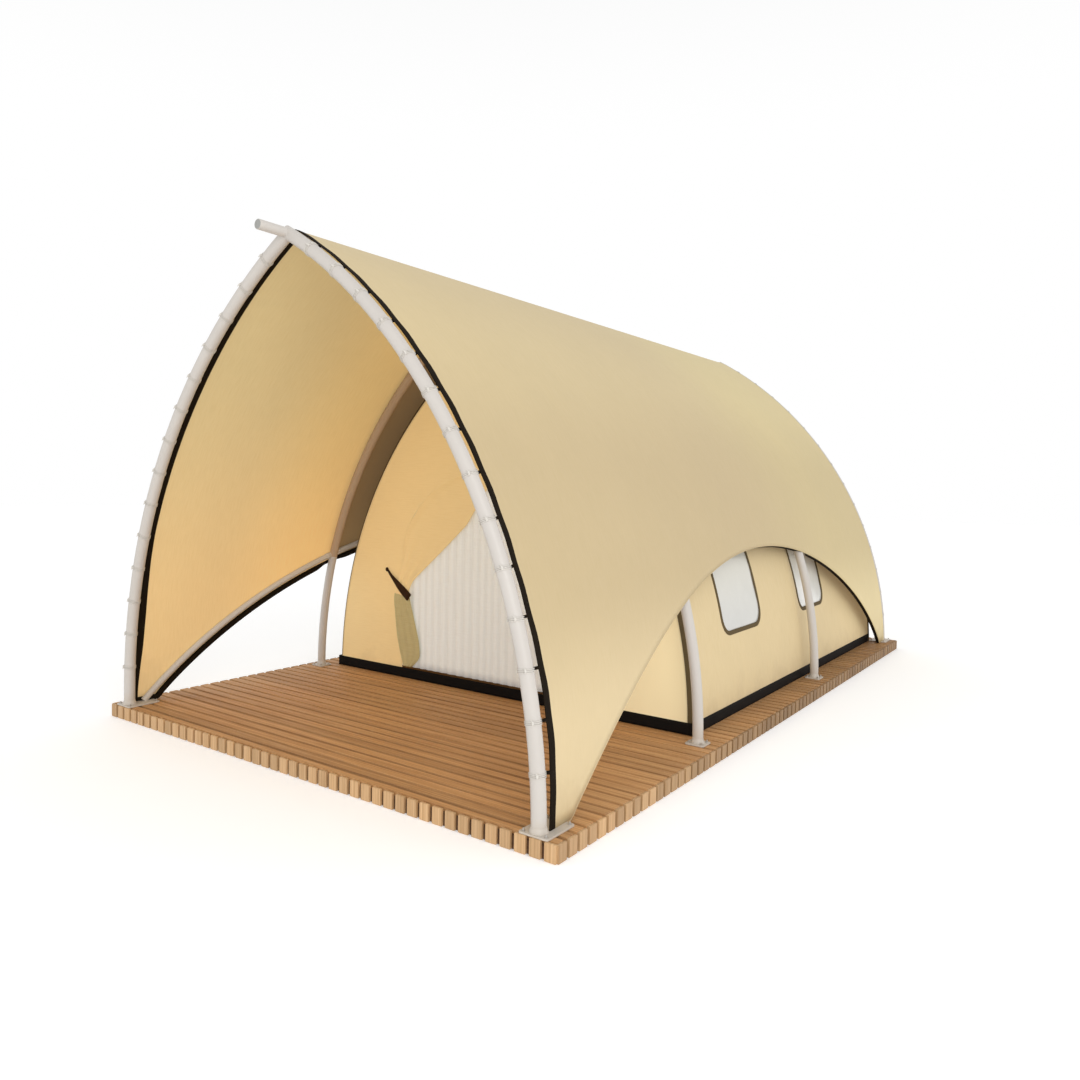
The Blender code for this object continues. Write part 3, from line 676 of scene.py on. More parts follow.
def leg_shape(side, foot_y, lean, tube):
    """Half an arch: stations by equal angle from the foot plate to the crown, mitred on the middle plane."""
    x, z = arch_at_turn(*OUTER, np.linspace(0.0026, crown_turn(*OUTER), 72), side)
    path = np.stack([x, foot_y - lean * z, DECK_TOP + z], -1)
    first, second, tangent = directions(path, (0, 1, lean))
    rings = sweep(path, first, second, circle(tube, 28))
    last = rings[0, -1]
    rings[0, -1] = last - tangent[-1] * (last[:, :1] / tangent[-1, 0])
    if tube == RIB_TUBE:
        rings[..., 2] = np.minimum(rings[..., 2], CROWN_TOP)
    return loft(rings)


def collar_shape(side, foot_y, lean, tube):
    """A weld collar: a short cone round the tube's foot."""
    z = np.array([0.011, 0.019, 0.0305, 0.05])
    path = np.stack([side * half_width(*OUTER, z), foot_y - lean * z, DECK_TOP + z], -1)
    return loft(sweep(path, (1, 0, 0), (0, 1, 0), circle(1.0, 28), tube + np.array([0.011, 0.011, 0.0055, 0.001])))


def plate_shape(x, y, width, length):
    """A foot plate: a rounded rectangle carried up through its thickness, a little smaller at the top."""
    z = DECK_TOP + np.array([0.0004, PLATE_THICKNESS - 0.0015, PLATE_THICKNESS])
    path = np.stack([np.full(3, x), np.full(3, y), z], -1)
    return loft(sweep(path, (1, 0, 0), (0, 1, 0), rounded_outline(width, length, 0.018, 4), np.array([1.0, 1.0, 0.99])))


def upright_rings(centres, heights, radii, sides, twist=0.0):
    """Many small turned shapes at once: circles of given radii at given heights over each centre."""
    ring = circle(1.0, sides) @ np.array([[math.cos(twist), math.sin(twist)], [-math.sin(twist), math.cos(twist)]])
    flat = np.asarray(radii)[:, None, None] * ring
    rise = np.broadcast_to(np.asarray(heights)[:, None, None], flat.shape[:2] + (1,))
    return loft(centres[:, None, None, :] + np.concatenate([flat, rise], -1))


def bolt_shapes(x, y, width, length):
    """Four anchor bolts: a washer, a six-sided nut and the bolt's round end."""
    flat = np.array([x, y]) + CORNERS * (np.array([width, length]) / 2 - 0.026)
    centres = np.column_stack([flat, np.full(4, DECK_TOP + PLATE_THICKNESS)])
    return join(upright_rings(centres, [0, 0.0025], [0.014, 0.014], 18),
                upright_rings(centres, [0.0025, 0.010, 0.0115], [0.0105, 0.0105, 0.0085], 6, 0.3),
                upright_rings(centres, [0.0115, 0.018, 0.0195], [0.0055, 0.0055, 0.0035], 12))


# %% All the arches
for arch, (foot_y, lean, tube) in ARCHES.items():
    size = (0.22, 0.32) if tube == END_TUBE else (0.165, 0.165)
    plate_y = foot_y + {"front_arch": 0.09, "rear_arch": -0.05}.get(arch, 0.0)
    for side_name, side in SIDES:
        leg = side, foot_y, lean, tube
        foot = side * HALF_SPAN, plate_y, *size
        shape = join(leg_shape(*leg), collar_shape(*leg), plate_shape(*foot))
        mesh = piece(f"{arch}_{side_name}_tube", shape, [white_steel, rib_painted_shade],
                     [f"{arch}_{side_name}"], smooth_angle=35).data
        # Faces above the side arc's height take the tan finish: painted shade on the front rib behind the canopy.
        if arch == "front_rib":
            centres = np.zeros(3 * len(mesh.polygons), np.float32)
            mesh.polygons.foreach_get("center", centres)
            mesh.polygons.foreach_set("material_index", (centres[2::3] > PAINTED_SHADE_FROM).astype(np.int32))
        piece(f"{arch}_{side_name}_bolts", bolt_shapes(*foot), bolt_steel)

# %% [markdown]
# ## Ridge tube and side rails
#
# A straight tube of 76 mm joins the four crowns and sticks out about 290 mm past the front arch, with a grey
# cap in its end. The side rails are 60 mm tubes with a cuff on each side of a rib. Seen from the side each is
# an arc from the front plate to the rear plate, and it lies on the arches' curve as well, so its x comes from
# its height.

# %% Ridge tube
RIDGE_TUBE = 0.038


def ridge_shape(stations, scale):
    """A round run along the ridge: four places along the tent, and the share of the tube's radius at each."""
    path = np.column_stack([np.zeros(4), stations, np.full(4, DECK_TOP + RISE)])
    return loft(sweep(path, (1, 0, 0), (0, 0, 1), circle(RIDGE_TUBE, 32), np.array(scale)))


piece("ridge_pipe", ridge_shape([-4.757, -4.754, 3.964, 3.967], [0.95, 1.0, 1.0, 0.95]), white_steel,
      ["ridge_tube"], smooth_angle=35)
piece("ridge_end_cap", ridge_shape([-4.7598, -4.7590, -4.757, -4.75], [0.70, 0.86, 0.90, 0.90]), tube_end)

# %% Side rails
ARC_Y, ARC_CHORD, ARC_RISE = -0.02, 4.12, 1.54
ARC_RADIUS = (ARC_CHORD ** 2 + ARC_RISE ** 2) / (2 * ARC_RISE)
ARC_Z = ARC_RISE - ARC_RADIUS
RAIL_RADIUS, RAIL_TUBE, CUFF_TUBE, CUFF_AWAY = ARC_RADIUS + 0.095, 0.030, 0.0335, 0.075


def arc_height(y):
    """The height above the deck of the side arc at y: a circle's upper half round (ARC_Y, ARC_Z)."""
    return ARC_Z + np.sqrt(np.maximum(ARC_RADIUS ** 2 - (y - ARC_Y) ** 2, 0.0))


rail_reach = math.acos(-ARC_Z / RAIL_RADIUS) - 0.0025
for side_name, side in SIDES:
    angle = np.linspace(-rail_reach, rail_reach, 90)
    y, z = ARC_Y + RAIL_RADIUS * np.sin(angle), ARC_Z + RAIL_RADIUS * np.cos(angle)
    x = side * half_width(*OUTER, z, RIB_TUBE - RAIL_TUBE - 0.0006)
    path = np.stack([x, y, DECK_TOP + z], -1)
    first, second, tangent = directions(path, (side, 0, 0))
    parts = [loft(sweep(path, first, second, circle(RAIL_TUBE)))]
    for cuff_y in (FRONT_RIB - CUFF_AWAY, FRONT_RIB + CUFF_AWAY, REAR_RIB - CUFF_AWAY, REAR_RIB + CUFF_AWAY):
        k = int(np.argmin(np.abs(y - cuff_y)))
        centre = path[k] + tangent[k] * ((cuff_y - y[k]) / tangent[k, 1])
        line = centre + tangent[k] * np.array([-0.022, -0.020, 0.020, 0.022])[:, None]
        parts.append(loft(sweep(line, first[k], second[k], circle(CUFF_TUBE), np.array([0.96, 1.0, 1.0, 0.96]))))
    solids = [f"side_rail_{side_name}_{place}" for place in ("front", "middle", "rear")]
    piece(f"side_rail_{side_name}_tube", join(*parts), white_steel, solids, smooth_angle=35)

# %% [markdown]
# ## The canopy
#
# The canopy is one tight sheet from side to side. At each place along the tent its rows start at the side
# arc's height on the left, go over the ridge and end at the same height on the right. The rear edge leans
# with the rear arch, so a row's y depends on height: y runs by a share v from the front edge to the rear
# edge at that height. Near the laced ends the sheet is pulled towards each tie, which leaves a shallow
# scallop and a pucker between them, and between the arches it swells a little. It is cream outside and golden
# inside, so Solidify gives its inner skin the second material.

# %% Canopy edges
SKIN, SKIN_OFFSET, CANOPY_FOOT = 0.003, RIB_TUBE + 0.0004, 0.032
TIE_STEP, TIE_FIRST, TIE_COUNT = 0.32, 0.30, 14
LACE_GAP = 0.004
FRONT_EDGE = ARCHES["front_arch"][0] + END_TUBE + LACE_GAP
REAR_EDGE = ARCHES["rear_arch"][0] - END_TUBE - LACE_GAP
BAYS = np.array([-4.30, FRONT_RIB, REAR_RIB, 4.0])


def slack(z):
    """How much wider the laced gap is at a height: it opens by the knee and closes at the foot."""
    return 0.024 * ease(z, 1.7, 0.8) - 0.026 * ease(z, 0.55, 0.0)


def front_edge(z):
    """The sheet's y at its front edge: it leans as the arch does, and the laced gap adds to it."""
    return FRONT_EDGE - FRONT_LEAN * z + slack(z)


def rear_edge(z):
    """The sheet's y at its rear edge, which leans forward with the rear arch."""
    return REAR_EDGE - REAR_LEAN * z - slack(z)


def low_edge(v):
    """The sheet's lowest height at each share v along the tent: the side arc, or the foot beyond its ends.
    The height sets y, and y sets the height, so it is found by repeating both a few times."""
    z = np.full_like(v, CANOPY_FOOT)
    for _ in range(30):
        y = front_edge(z) + v * (rear_edge(z) - front_edge(z))
        z = 0.5 * z + 0.5 * np.maximum(arc_height(y), CANOPY_FOOT)
    return z


print("laced edges at the deck:", round(float(front_edge(0.0)), 3), round(float(rear_edge(0.0)), 3))


# %% Canopy sheet
def canopy_points(v, c):
    """Points of the sheet for shares v along the tent and c across it (-1 left edge, 0 ridge, 1 right edge),
    the distance from the crown along the girth, and y."""
    low = turn_at_height(*OUTER, low_edge(v), SKIN_OFFSET)[:, None]
    top = crown_turn(*OUTER, SKIN_OFFSET)
    turn = low + (1 - np.abs(c)) * (top - low)
    side = np.where(c < 0, -1.0, 1.0)
    x, z = arch_at_turn(*OUTER, turn, side, SKIN_OFFSET, 0.022)
    y = front_edge(z) + v[:, None] * (rear_edge(z) - front_edge(z))
    from_crown = (top - turn) * arch_radius(*OUTER)
    wave = 0.5 - 0.5 * np.cos(2 * np.pi * (from_crown - TIE_FIRST) / TIE_STEP)
    from_front, from_rear = y - front_edge(z), rear_edge(z) - y
    y = y + 0.002 * wave * (np.exp(-from_front / 0.10) - np.exp(-from_rear / 0.10))
    pucker = 0.0015 * wave * (np.exp(-from_front / 0.25) + np.exp(-from_rear / 0.25))
    share = (y[..., None] - BAYS[:-1]) / np.diff(BAYS)
    billow = np.where((share > 0) & (share < 1), np.sin(np.pi * np.clip(share, 0, 1)) ** 2, 0.0).sum(-1)
    swell = pucker + 0.007 * billow * np.sin(np.pi * np.clip((top - turn) / (top - low), 0, 1)) ** 1.5
    return np.stack([x, y, DECK_TOP + z], -1) + swell[..., None] * outward(side, turn), from_crown * side, y


v = np.linspace(0, 1, 221)
v = v - 0.035 * np.sin(2 * np.pi * v)
points, girth, run = canopy_points(v, np.linspace(-1, 1, 161))
solids = [f"canopy_{side}_{place}" for side in ("left", "right") for place in ("porch", "middle", "rear")]
canopy, canopy_area = sheet("canopy_sheet", points, np.stack([girth, run], -1), [membrane, membrane_inside],
                            solids, SKIN, smooth_angle=60, far_material=1)
print("canopy area:", round(canopy_area, 2), "girth:", round(float(np.ptp(girth)), 2))

# %% [markdown]
# ## Bands, hems and padded edges
#
# The laced ends of the canopy are bound in a band that folds over both faces, up to 60 mm wide outside and
# 105 mm inside, of dark webbing in front and of the canopy's own cloth at the rear. Along the side arcs the
# cloth is rolled into a thin hem, and a padded dark edge 40 mm wide lies behind it on the inner face, below
# the rail; it is flattened where it crosses a tube. All are outlines carried along an edge of the canopy's own
# grid, with the second direction taken from the arch.

# %% End bands
BAND_POINTS = 401
band_c = np.linspace(-1, 1, BAND_POINTS)
for name, place, inward, cloth, slot in (("front", 0.0, 1.0, edge_webbing, "dark_webbing"),
                                         ("rear", 1.0, -1.0, membrane, "canopy_membrane")):
    edge = canopy_points(np.array([place]), band_c)[0][0]
    low, top = turn_at_height(*OUTER, low_edge(np.array([place])), SKIN_OFFSET)[0], crown_turn(*OUTER, SKIN_OFFSET)
    side = np.sign(band_c) * np.clip(np.abs(band_c) / 0.004, 0, 1)
    out = unit(outward(side, low + (1 - np.abs(band_c)) * (top - low)))[:, None, :]
    outer_reach = 0.060 - 0.022 * ease(edge[:, 2], 0.5, 1.7)
    inner_reach = 0.056 + 0.026 * ease(edge[:, 2], 0.2, 0.9) + 0.022 * ease(edge[:, 2], 1.5, 3.4)
    rim = np.full(BAND_POINTS, -0.0025)
    run = np.stack([rim, inner_reach, outer_reach, rim], 1)
    rise = np.array([-0.0014, -0.0014, SKIN + 0.0014, SKIN + 0.0014])[:, None]
    band = (edge[:, None, :] + run[..., None] * np.array([0.0, inward, 0.0]) + rise * out)[None]
    uv = np.stack([np.repeat(np.linspace(0, 9.7, BAND_POINTS)[:, None], 4, 1), run], -1)
    piece(f"canopy_{name}_band", loft(band), cloth, uv=uv, smooth_angle=50)

# %% Side hems and padded edges
PAD_REACH = np.array([-0.004, 0.034, 0.038, 0.038, -0.004])
PAD_SINK = np.array([0.0, 0.0, 0.35, 1.0, 1.0])
TUBE_PLACES = np.array([-4.42, FRONT_RIB, REAR_RIB, 4.30])
for side_name, side in SIDES:
    edge = canopy_points(v, np.array([float(side)]))[0][:, 0]
    out = outward(side, turn_at_height(*OUTER, edge[:, 2] - DECK_TOP))
    up_cloth = unit(np.cross(out, unit(np.gradient(edge, axis=0))) * side)
    hem = loft(sweep(edge + out * SKIN / 2 - up_cloth * 0.001, up_cloth, out, circle(0.0030, 10)))
    piece(f"canopy_{side_name}_hem", hem, membrane, smooth_angle=50)
    clear = np.abs(edge[:, 1, None] - TUBE_PLACES).min(1)
    depth = 0.0018 + 0.038 * ease(clear, 0.055, 0.22)
    pad = edge[:, None, :] + PAD_REACH[:, None] * up_cloth[:, None, :]
    pad = pad - (depth[:, None] * (1 - PAD_SINK) + 0.0005 * PAD_SINK)[..., None] * out[:, None, :]
    piece(f"canopy_{side_name}_edge_pad", loft(pad[None]), edge_webbing, smooth_angle=50)

# %% [markdown]
# ## Lacing
#
# The canopy's ends are laced to the arches with short ropes, one every 320 mm. Each goes three times round the
# tube and is knotted on the outer side with two short ends, and a loop of webbing on the band holds it. One
# tie is built in its own small frame (a along the tent, b outwards, c along the tube) and laid at every place
# by one product of arrays.

# %% One tie
ROPE = 0.0030


def rope(path, hint):
    """A round rope along a path, drawn in a little at its two ends."""
    first, second, _ = directions(path, hint)
    scale = np.ones(len(path))
    scale[[0, -1]] = 0.7
    return loft(sweep(path, first, second, circle(ROPE, 7), scale))


def ball(centre, radii):
    """A flattened ball: circles whose radius is the sine of the angle from its pole."""
    angle = np.linspace(0.12, np.pi - 0.12, 7)
    flat = np.sin(angle)[:, None, None] * circle(1.0, 10) * np.asarray(radii)[:2]
    rise = np.broadcast_to((np.cos(angle) * radii[2])[:, None, None], flat.shape[:2] + (1,))
    return loft((np.concatenate([flat, rise], -1) + np.asarray(centre))[None])


def tie_shape():
    """Rope in (a, b, c): three turns round the tube, a knot on its outer side and two short ends."""
    angle = np.linspace(0.25 * np.pi, 6.45 * np.pi, 66)
    radius = END_TUBE + ROPE
    turns = np.stack([radius * np.cos(angle), radius * np.sin(angle), 0.0056 * (angle - angle.mean()) / np.pi], -1)
    face = np.array([math.cos(math.radians(148)), math.sin(math.radians(148)), 0.0])
    parts = [rope(turns, (0, 0, 1)), ball((radius + 0.001) * face, (0.010, 0.009, 0.015))]
    for lean_c, length in ((2.4, 0.009), (-2.0, 0.008)):
        t = np.linspace(0, 1, 8)[:, None]
        line = (radius + 0.004) * face + length * t * (face + np.array([0.0, 0.0, lean_c]))
        parts.append(rope(line + np.array([0.0, -0.010, 0.0]) * t ** 2, (1.0, 0.1, 0.2)))
    return join(*parts)


print("one tie:", len(tie_shape()[0]), "points")


# %% One loop, and many copies
def loop_shape(reach):
    """A flat loop of webbing in (a, b, c): from the band's face at a = reach over the rope and back under it."""
    radius = END_TUBE + 2 * ROPE
    line = np.array([[reach, RIB_TUBE + 0.0055], [END_TUBE + 0.010, RIB_TUBE + 0.0055], [0.80 * radius, 0.66 * radius],
                     [0.92 * radius, 0.44 * radius], [END_TUBE + 0.006, RIB_TUBE - 0.012], [reach, RIB_TUBE - 0.0025]])
    path = np.column_stack([even(line, 24), np.zeros(24)])
    tangent = unit(np.gradient(path, axis=0))
    across = np.stack([-tangent[:, 1], tangent[:, 0], np.zeros(24)], -1)
    return loft(sweep(path, (0, 0, 1), across, rounded_outline(0.020, 0.0016, 0.0006, 1)))


def lay(shape, origins, axes):
    """Copies of a small shape at many origins, each turned by its own three axes (as rows)."""
    points, faces = shape
    placed = origins[:, None, :] + np.einsum("pk,nkd->npd", points, axes)
    starts = (len(points) * np.arange(len(origins))).tolist()
    return placed.reshape(-1, 3), [[index + start for index in face] for start in starts for face in faces]


# %% All ties and loops
tie_turn = crown_turn(*OUTER) - (TIE_FIRST + TIE_STEP * np.arange(TIE_COUNT)) / arch_radius(*OUTER)
for arch, inward, loop_cloth in (("front_arch", 1.0, edge_webbing), ("rear_arch", -1.0, membrane)):
    foot_y, lean, _ = ARCHES[arch]
    for side_name, side in SIDES:
        x, z = arch_at_turn(*OUTER, tie_turn, side)
        origins = np.stack([x, foot_y - lean * z, DECK_TOP + z], -1)
        out = outward(side, tie_turn)
        into = np.broadcast_to(np.array([0.0, inward, 0.0]), out.shape)
        down = np.cross(out, into)
        wobble = rng.uniform(-0.12, 0.12, TIE_COUNT)[:, None]
        turned = np.stack([into, out + wobble * down, down - wobble * out], 1)
        straight = np.stack([into, out, down], 1)
        reaches = END_TUBE + LACE_GAP + slack(z) + 0.022
        loops = join(*(lay(loop_shape(reach), origins[k:k + 1], straight[k:k + 1]) for k, reach in enumerate(reaches)))
        ropes = lay(tie_shape(), origins, turned)
        piece(f"{arch}_{side_name}_lacing", ropes, rope_cloth, smooth_angle=60)
        piece(f"{arch}_{side_name}_loops", loops, loop_cloth, smooth_angle=60)
print("ties:", 4 * TIE_COUNT)

# %% [markdown]
# ## The inner tent
#
# The inner tent is the same kind of arch, a little lower, under the rear two thirds of the canopy. Its cloth is
# held out at its front edge, at the rear rib and at its rear edge, and hangs in a little between them, which
# leaves the soft upright fold beside the second window. The windows are cut out of the grid: points near a
# window's outline are moved onto it, and the quads inside it are left out.

# %% How the inner cloth hangs
INNER_FRONT, INNER_REAR, SHELL_FRONT = -1.85, 4.16, -1.82
HELD = np.array([-1.852, 1.12, 4.14])
WINDOW_MIDDLES = {"front": -0.45, "rear": 1.75}
WINDOW_Z, WINDOW_HALF, CORNER = 1.21, np.array([0.5, 0.45]), 0.15
CANVAS = 0.003


def inner_hang(y, z):
    """How far the side cloth hangs in: a sine between the places where it is held, growing above the foot."""
    share = (y[..., None] - HELD[:-1]) / np.diff(HELD)
    bay = np.maximum(np.sin(np.pi * np.clip(share, 0, 1)), 0) ** 0.65
    between = np.where((share > 0) & (share < 1), bay, 0.0).sum(-1)
    return 0.040 * between * ease(z, 0.06, 0.75) * (1 - 0.6 * ease(z, 2.2, 3.6))


def inner_at(y, z, side, offset=0.0):
    """A point of the side cloth at y and a height above the deck, moved outwards by an offset."""
    turn = turn_at_height(*INNER, z)
    x, rise = arch_at_turn(*INNER, turn, side)
    return np.stack([x, y, DECK_TOP + rise], -1) + (offset - inner_hang(y, z))[..., None] * outward(side, turn)


print("deepest hang:", round(float(inner_hang(np.linspace(HELD[0], HELD[-1], 60), 1.0).max()), 3))


# %% Inner shell
def window_distance(y, z, middle):
    """Signed distance to a window's outline, negative inside, and the direction in which it grows."""
    gap = np.stack([y - middle, z - WINDOW_Z], -1)
    over = np.abs(gap) - (WINDOW_HALF - CORNER)
    beyond = np.maximum(over, 0)
    distance = np.linalg.norm(beyond, axis=-1) + np.minimum(over.max(-1), 0) - CORNER
    flat = np.stack([over[..., 0] >= over[..., 1], over[..., 0] < over[..., 1]], -1).astype(float)
    grow = np.where((over > 0).all(-1)[..., None], beyond, flat)
    return distance, np.sign(gap) * grow / np.maximum(np.linalg.norm(grow, axis=-1, keepdims=True), 1e-9)


def inner_rear_edge(z):
    """The shell's y at its rear edge, which leans as the rear wall does."""
    return INNER_REAR - 0.006 - REAR_LEAN * z


share, q = np.linspace(0, 1, 125)[:, None], np.linspace(-1, 1, 185)
side = np.where(q < 0, -1.0, 1.0) * np.ones_like(share)
z = arch_radius(*INNER) * np.sin((1 - np.abs(q)) * crown_turn(*INNER)) * np.ones_like(share)
y = SHELL_FRONT + share * (inner_rear_edge(z) - SHELL_FRONT)
for middle in WINDOW_MIDDLES.values():
    distance, grow = window_distance(y, z, middle)
    step = np.where((np.abs(distance) < 0.030)[..., None], distance[..., None] * grow, 0.0)
    y, z = y - step[..., 0], z - step[..., 1]
at_y, at_z = [(a[1:, 1:] + a[1:, :-1] + a[:-1, 1:] + a[:-1, :-1]) / 4 for a in (y, z)]
inside = np.minimum(*[window_distance(at_y, at_z, middle)[0] for middle in WINDOW_MIDDLES.values()]) < -0.004
points = inner_at(y, z, side, -0.001)
points[..., 2] -= 0.012 * np.exp(-(points[..., 0] / 0.05) ** 2)
girth = side * (crown_turn(*INNER) - turn_at_height(*INNER, z)) * arch_radius(*INNER)
inner_shell, shell_area = sheet("inner_tent_shell", points, np.stack([girth, y], -1), canvas,
                                ["inner_wall_left", "inner_wall_right"], CANVAS, True, keep=~inside)
shell_area -= 4 * float((2 * WINDOW_HALF).prod() - (4 - np.pi) * CORNER ** 2)
print("inner shell area:", round(shell_area, 2))

# %% [markdown]
# ## Windows
#
# Each window is a sheet of milky film with a dark binding round it that folds over both faces of the wall. The
# film is a disc of rings that all have the window's own outline, scaled about its middle, so its edge is exact.
# The binding is a flat outline carried once round the window and closed on itself.

# %% Films and bindings
def window_outline(middle):
    """Points round a window's edge: a rounded rectangle, 96 points evenly spread along its length."""
    line = rounded_outline(*(2 * WINDOW_HALF), CORNER, 16)
    return np.array([middle, WINDOW_Z]) + even(np.concatenate([line, line[:1]]), 97)[:-1]


def film_shape(middle, side):
    """Rings of the outline, scaled from 0.04 to 1, with a slow ripple, and a cap over the smallest."""
    outline = window_outline(middle)
    centre = np.array([middle, WINDOW_Z])
    y, z = np.moveaxis(centre + np.linspace(0.04, 1.0, 14)[:, None, None] * (outline - centre), -1, 0)
    ripple = 0.0035 * np.sin(5.1 * y + 9.0 * z) * np.sin(7.3 * z - 1.1 * y)
    points, faces = loft(inner_at(y, z, side, -0.0025 + ripple)[None])
    return points, faces[:-1]


def binding_shape(middle, side):
    """The binding's outline, from 12 mm inside the window's edge to 30 mm outside it, carried round the window."""
    inner, outer, back, front = 0.012, 0.030, 0.0055, 0.0045
    outline = window_outline(middle)
    path = inner_at(outline[:, 0], outline[:, 1], side)
    out = outward(side, turn_at_height(*INNER, outline[:, 1]))
    away = np.cross(out, unit(np.roll(path, -1, 0) - np.roll(path, 1, 0)))
    away *= np.sign(np.sum(away * (path - path.mean(0)), axis=1).mean())
    profile = np.array([[-inner, -back], [outer, -back], [outer + 0.001, front - 0.003], [outer - 0.004, front],
                        [-inner + 0.003, front], [-inner, front - 0.003]])
    return loft(sweep(path, away, out, profile), closed=True)


for side_name, side in SIDES:
    for place, middle in WINDOW_MIDDLES.items():
        film = piece(f"window_{side_name}_{place}_film", film_shape(middle, side), window_film,
                     [f"window_pane_{side_name}_{place}"], closed=False, smooth_angle=60)
        thicken(film, 0.0015, True)
        piece(f"window_{side_name}_{place}_binding", binding_shape(middle, side), brown_binding,
              smooth_angle=35)

# %% [markdown]
# ## The front wall, the rear wall and the strip at their foot
#
# The front wall lies between two lines that both start at the deck on the left and end there on the right: the
# doorway's outline and the gable's. A ruled sheet between them gives the whole wall at once, in one piece, and
# a brown strip set slantwise closes the corner between it and the side walls. The rear wall is a sheet of level
# rows that narrow with the arch. A black strip of coated cloth runs round the foot of all four walls and across
# the doorway.

# %% Front wall
DOOR_HALF, DOOR_SPRING, DOOR_HEAD = 1.2, 1.35, 2.25


def door_outline(count):
    """Left jamb, half an ellipse, right jamb, as (x, z above the deck)."""
    angle = np.linspace(np.pi, 0, 90)
    arch = np.stack([DOOR_HALF * np.cos(angle), DOOR_SPRING + (DOOR_HEAD - DOOR_SPRING) * np.sin(angle)], -1)
    return even(np.concatenate([[[-DOOR_HALF, 0.0]], arch, [[DOOR_HALF, 0.0]]]), count)


def gable_outline(count, offset=0.0):
    """The inner tent's pointed outline from the left foot to the right one."""
    q = np.linspace(-1, 1, 201)
    turn = (1 - np.abs(q)) * crown_turn(*INNER, offset)
    return even(np.stack(arch_at_turn(*INNER, turn, np.where(q < 0, -1.0, 1.0), offset, 0.02), -1), count)


def front_relief(x, z):
    """Slow folds in the front cloth: strain lines that fan out above the doorway and a slight fullness."""
    angle = np.arctan2(z - 0.4, x)
    fan = np.sin(26 * angle + 1.2 * np.sin(3 * angle)) * ease(np.hypot(x, z - 0.4), 1.4, 2.3)
    return 0.0028 * fan + 0.006 * np.sin(1.7 * x + 0.6) * np.sin(2.1 * z)


door, gable = door_outline(221), gable_outline(221, -0.040)
across = np.linspace(0, 1, 31)[:, None]
flat = door + across[..., None] * (gable - door)
x, z = flat[..., 0], flat[..., 1]
y = INNER_FRONT - 0.005 - np.sin(np.pi * across) * (0.003 + np.abs(front_relief(x, z)))
front_wall, front_area = sheet("inner_tent_front", np.stack([x, y, DECK_TOP + z + 0.002], -1), flat, canvas_lit,
                               ["inner_front_left", "inner_front_right", "inner_front_top"], CANVAS)

corner = []
for offset, y in ((-0.046, -0.0150), (0.0040, 0.034), (-0.0005, 0.034), (-0.046, -0.0110)):
    x, z = gable_outline(301, offset).T
    corner.append(np.column_stack([x, np.full(301, INNER_FRONT + y), DECK_TOP + 0.003 + z]))
piece("inner_front_corner", loft(np.stack(corner, 1)[None]), brown_binding, smooth_angle=60)

# %% Rear wall
height = np.linspace(0.0, 0.9985, 91)[:, None] * INNER[1]
across = np.linspace(-1, 1, 91)
x = across * (half_width(*INNER, height) - 0.004)
z = height * np.ones_like(across)
hollow = 0.018 * np.sin(np.pi * (across + 1) / 2) * np.sin(np.pi * height / INNER[1])
waves = 0.004 * (1 + np.sin(5 * x + 1.5 * z))
y = INNER_REAR - 0.003 - REAR_LEAN * z - (hollow + waves)
rear_wall, rear_area = sheet("inner_tent_rear", np.stack([x, y, DECK_TOP + 0.002 + z], -1), np.stack([x, z], -1),
                             canvas, ["inner_rear"], CANVAS)
x, z = gable_outline(241).T
line = np.column_stack([x, INNER_REAR - REAR_LEAN * z, DECK_TOP + 0.004 + z])
first, second, _ = directions(line, (0, 1, REAR_LEAN))
piece("inner_rear_binding", loft(sweep(line, first, second, rounded_outline(0.026, 0.020, 0.007))), brown_binding,
      smooth_angle=60)

# %% Foot strip
STRIP = 0.108
z = np.linspace(0.0015, STRIP, 7)
for side_name, side in SIDES:
    start, end = INNER_FRONT - 0.012, inner_rear_edge(z) + 0.012
    y = start + np.linspace(0, 1, 121)[:, None] * (end - start)
    full_z = z * np.ones_like(y)
    points = inner_at(y, full_z, side, 0.0025 + 0.0012 * np.sin(9.0 * y) * np.sin(8.0 * full_z / STRIP))
    sheet(f"foot_strip_{side_name}", points, np.stack([y, full_z], -1), dark_strip, (), 0.0025,
          side < 0, 60)
x, full_z = np.meshgrid(np.linspace(-2.194, 2.194, 161), z, indexing="ij")
swell = 0.0012 * (1 + np.sin(7.0 * x) * np.sin(3.0 * full_z / STRIP))
for place, y, solids in (("front", INNER_FRONT - 0.013 - swell, ["door_sill"]),
                         ("rear", INNER_REAR + 0.001 - REAR_LEAN * full_z + swell, ())):
    sheet(f"foot_strip_{place}", np.stack([x, y, DECK_TOP + full_z], -1), np.stack([x, full_z], -1), dark_strip,
          solids, 0.0030, place == "rear", 60)

# %% [markdown]
# ## Net curtain, door cloths and ties
#
# A net curtain hangs behind the doorway in upright pleats: its depth is a wave whose width changes slowly, so
# no two pleats are alike. The two door cloths hang in front of it. Each is swept aside and held by a dark tie,
# so its free edge runs down and outwards in one curve and its tail falls below the tie. A cloth is ruled
# between its fixed side and its free edge, and folds gather where the two lines come close.

# %% Net curtain
x, z = np.meshgrid(np.linspace(-1.235, 1.235, 561), np.linspace(0.124, 2.28, 25))
phase = 2 * np.pi * (x / 0.105 + 0.35 * np.sin(2.3 * x + 0.4) + 0.16 * np.sin(7.1 * x))
fold = np.sin(phase + 0.25 * np.sin(1.3 * z))
depth = 0.0062 * fold * (0.75 + 0.25 * ease(z, 2.3, 0.2)) + 0.0016 * np.sin(3.1 * phase)
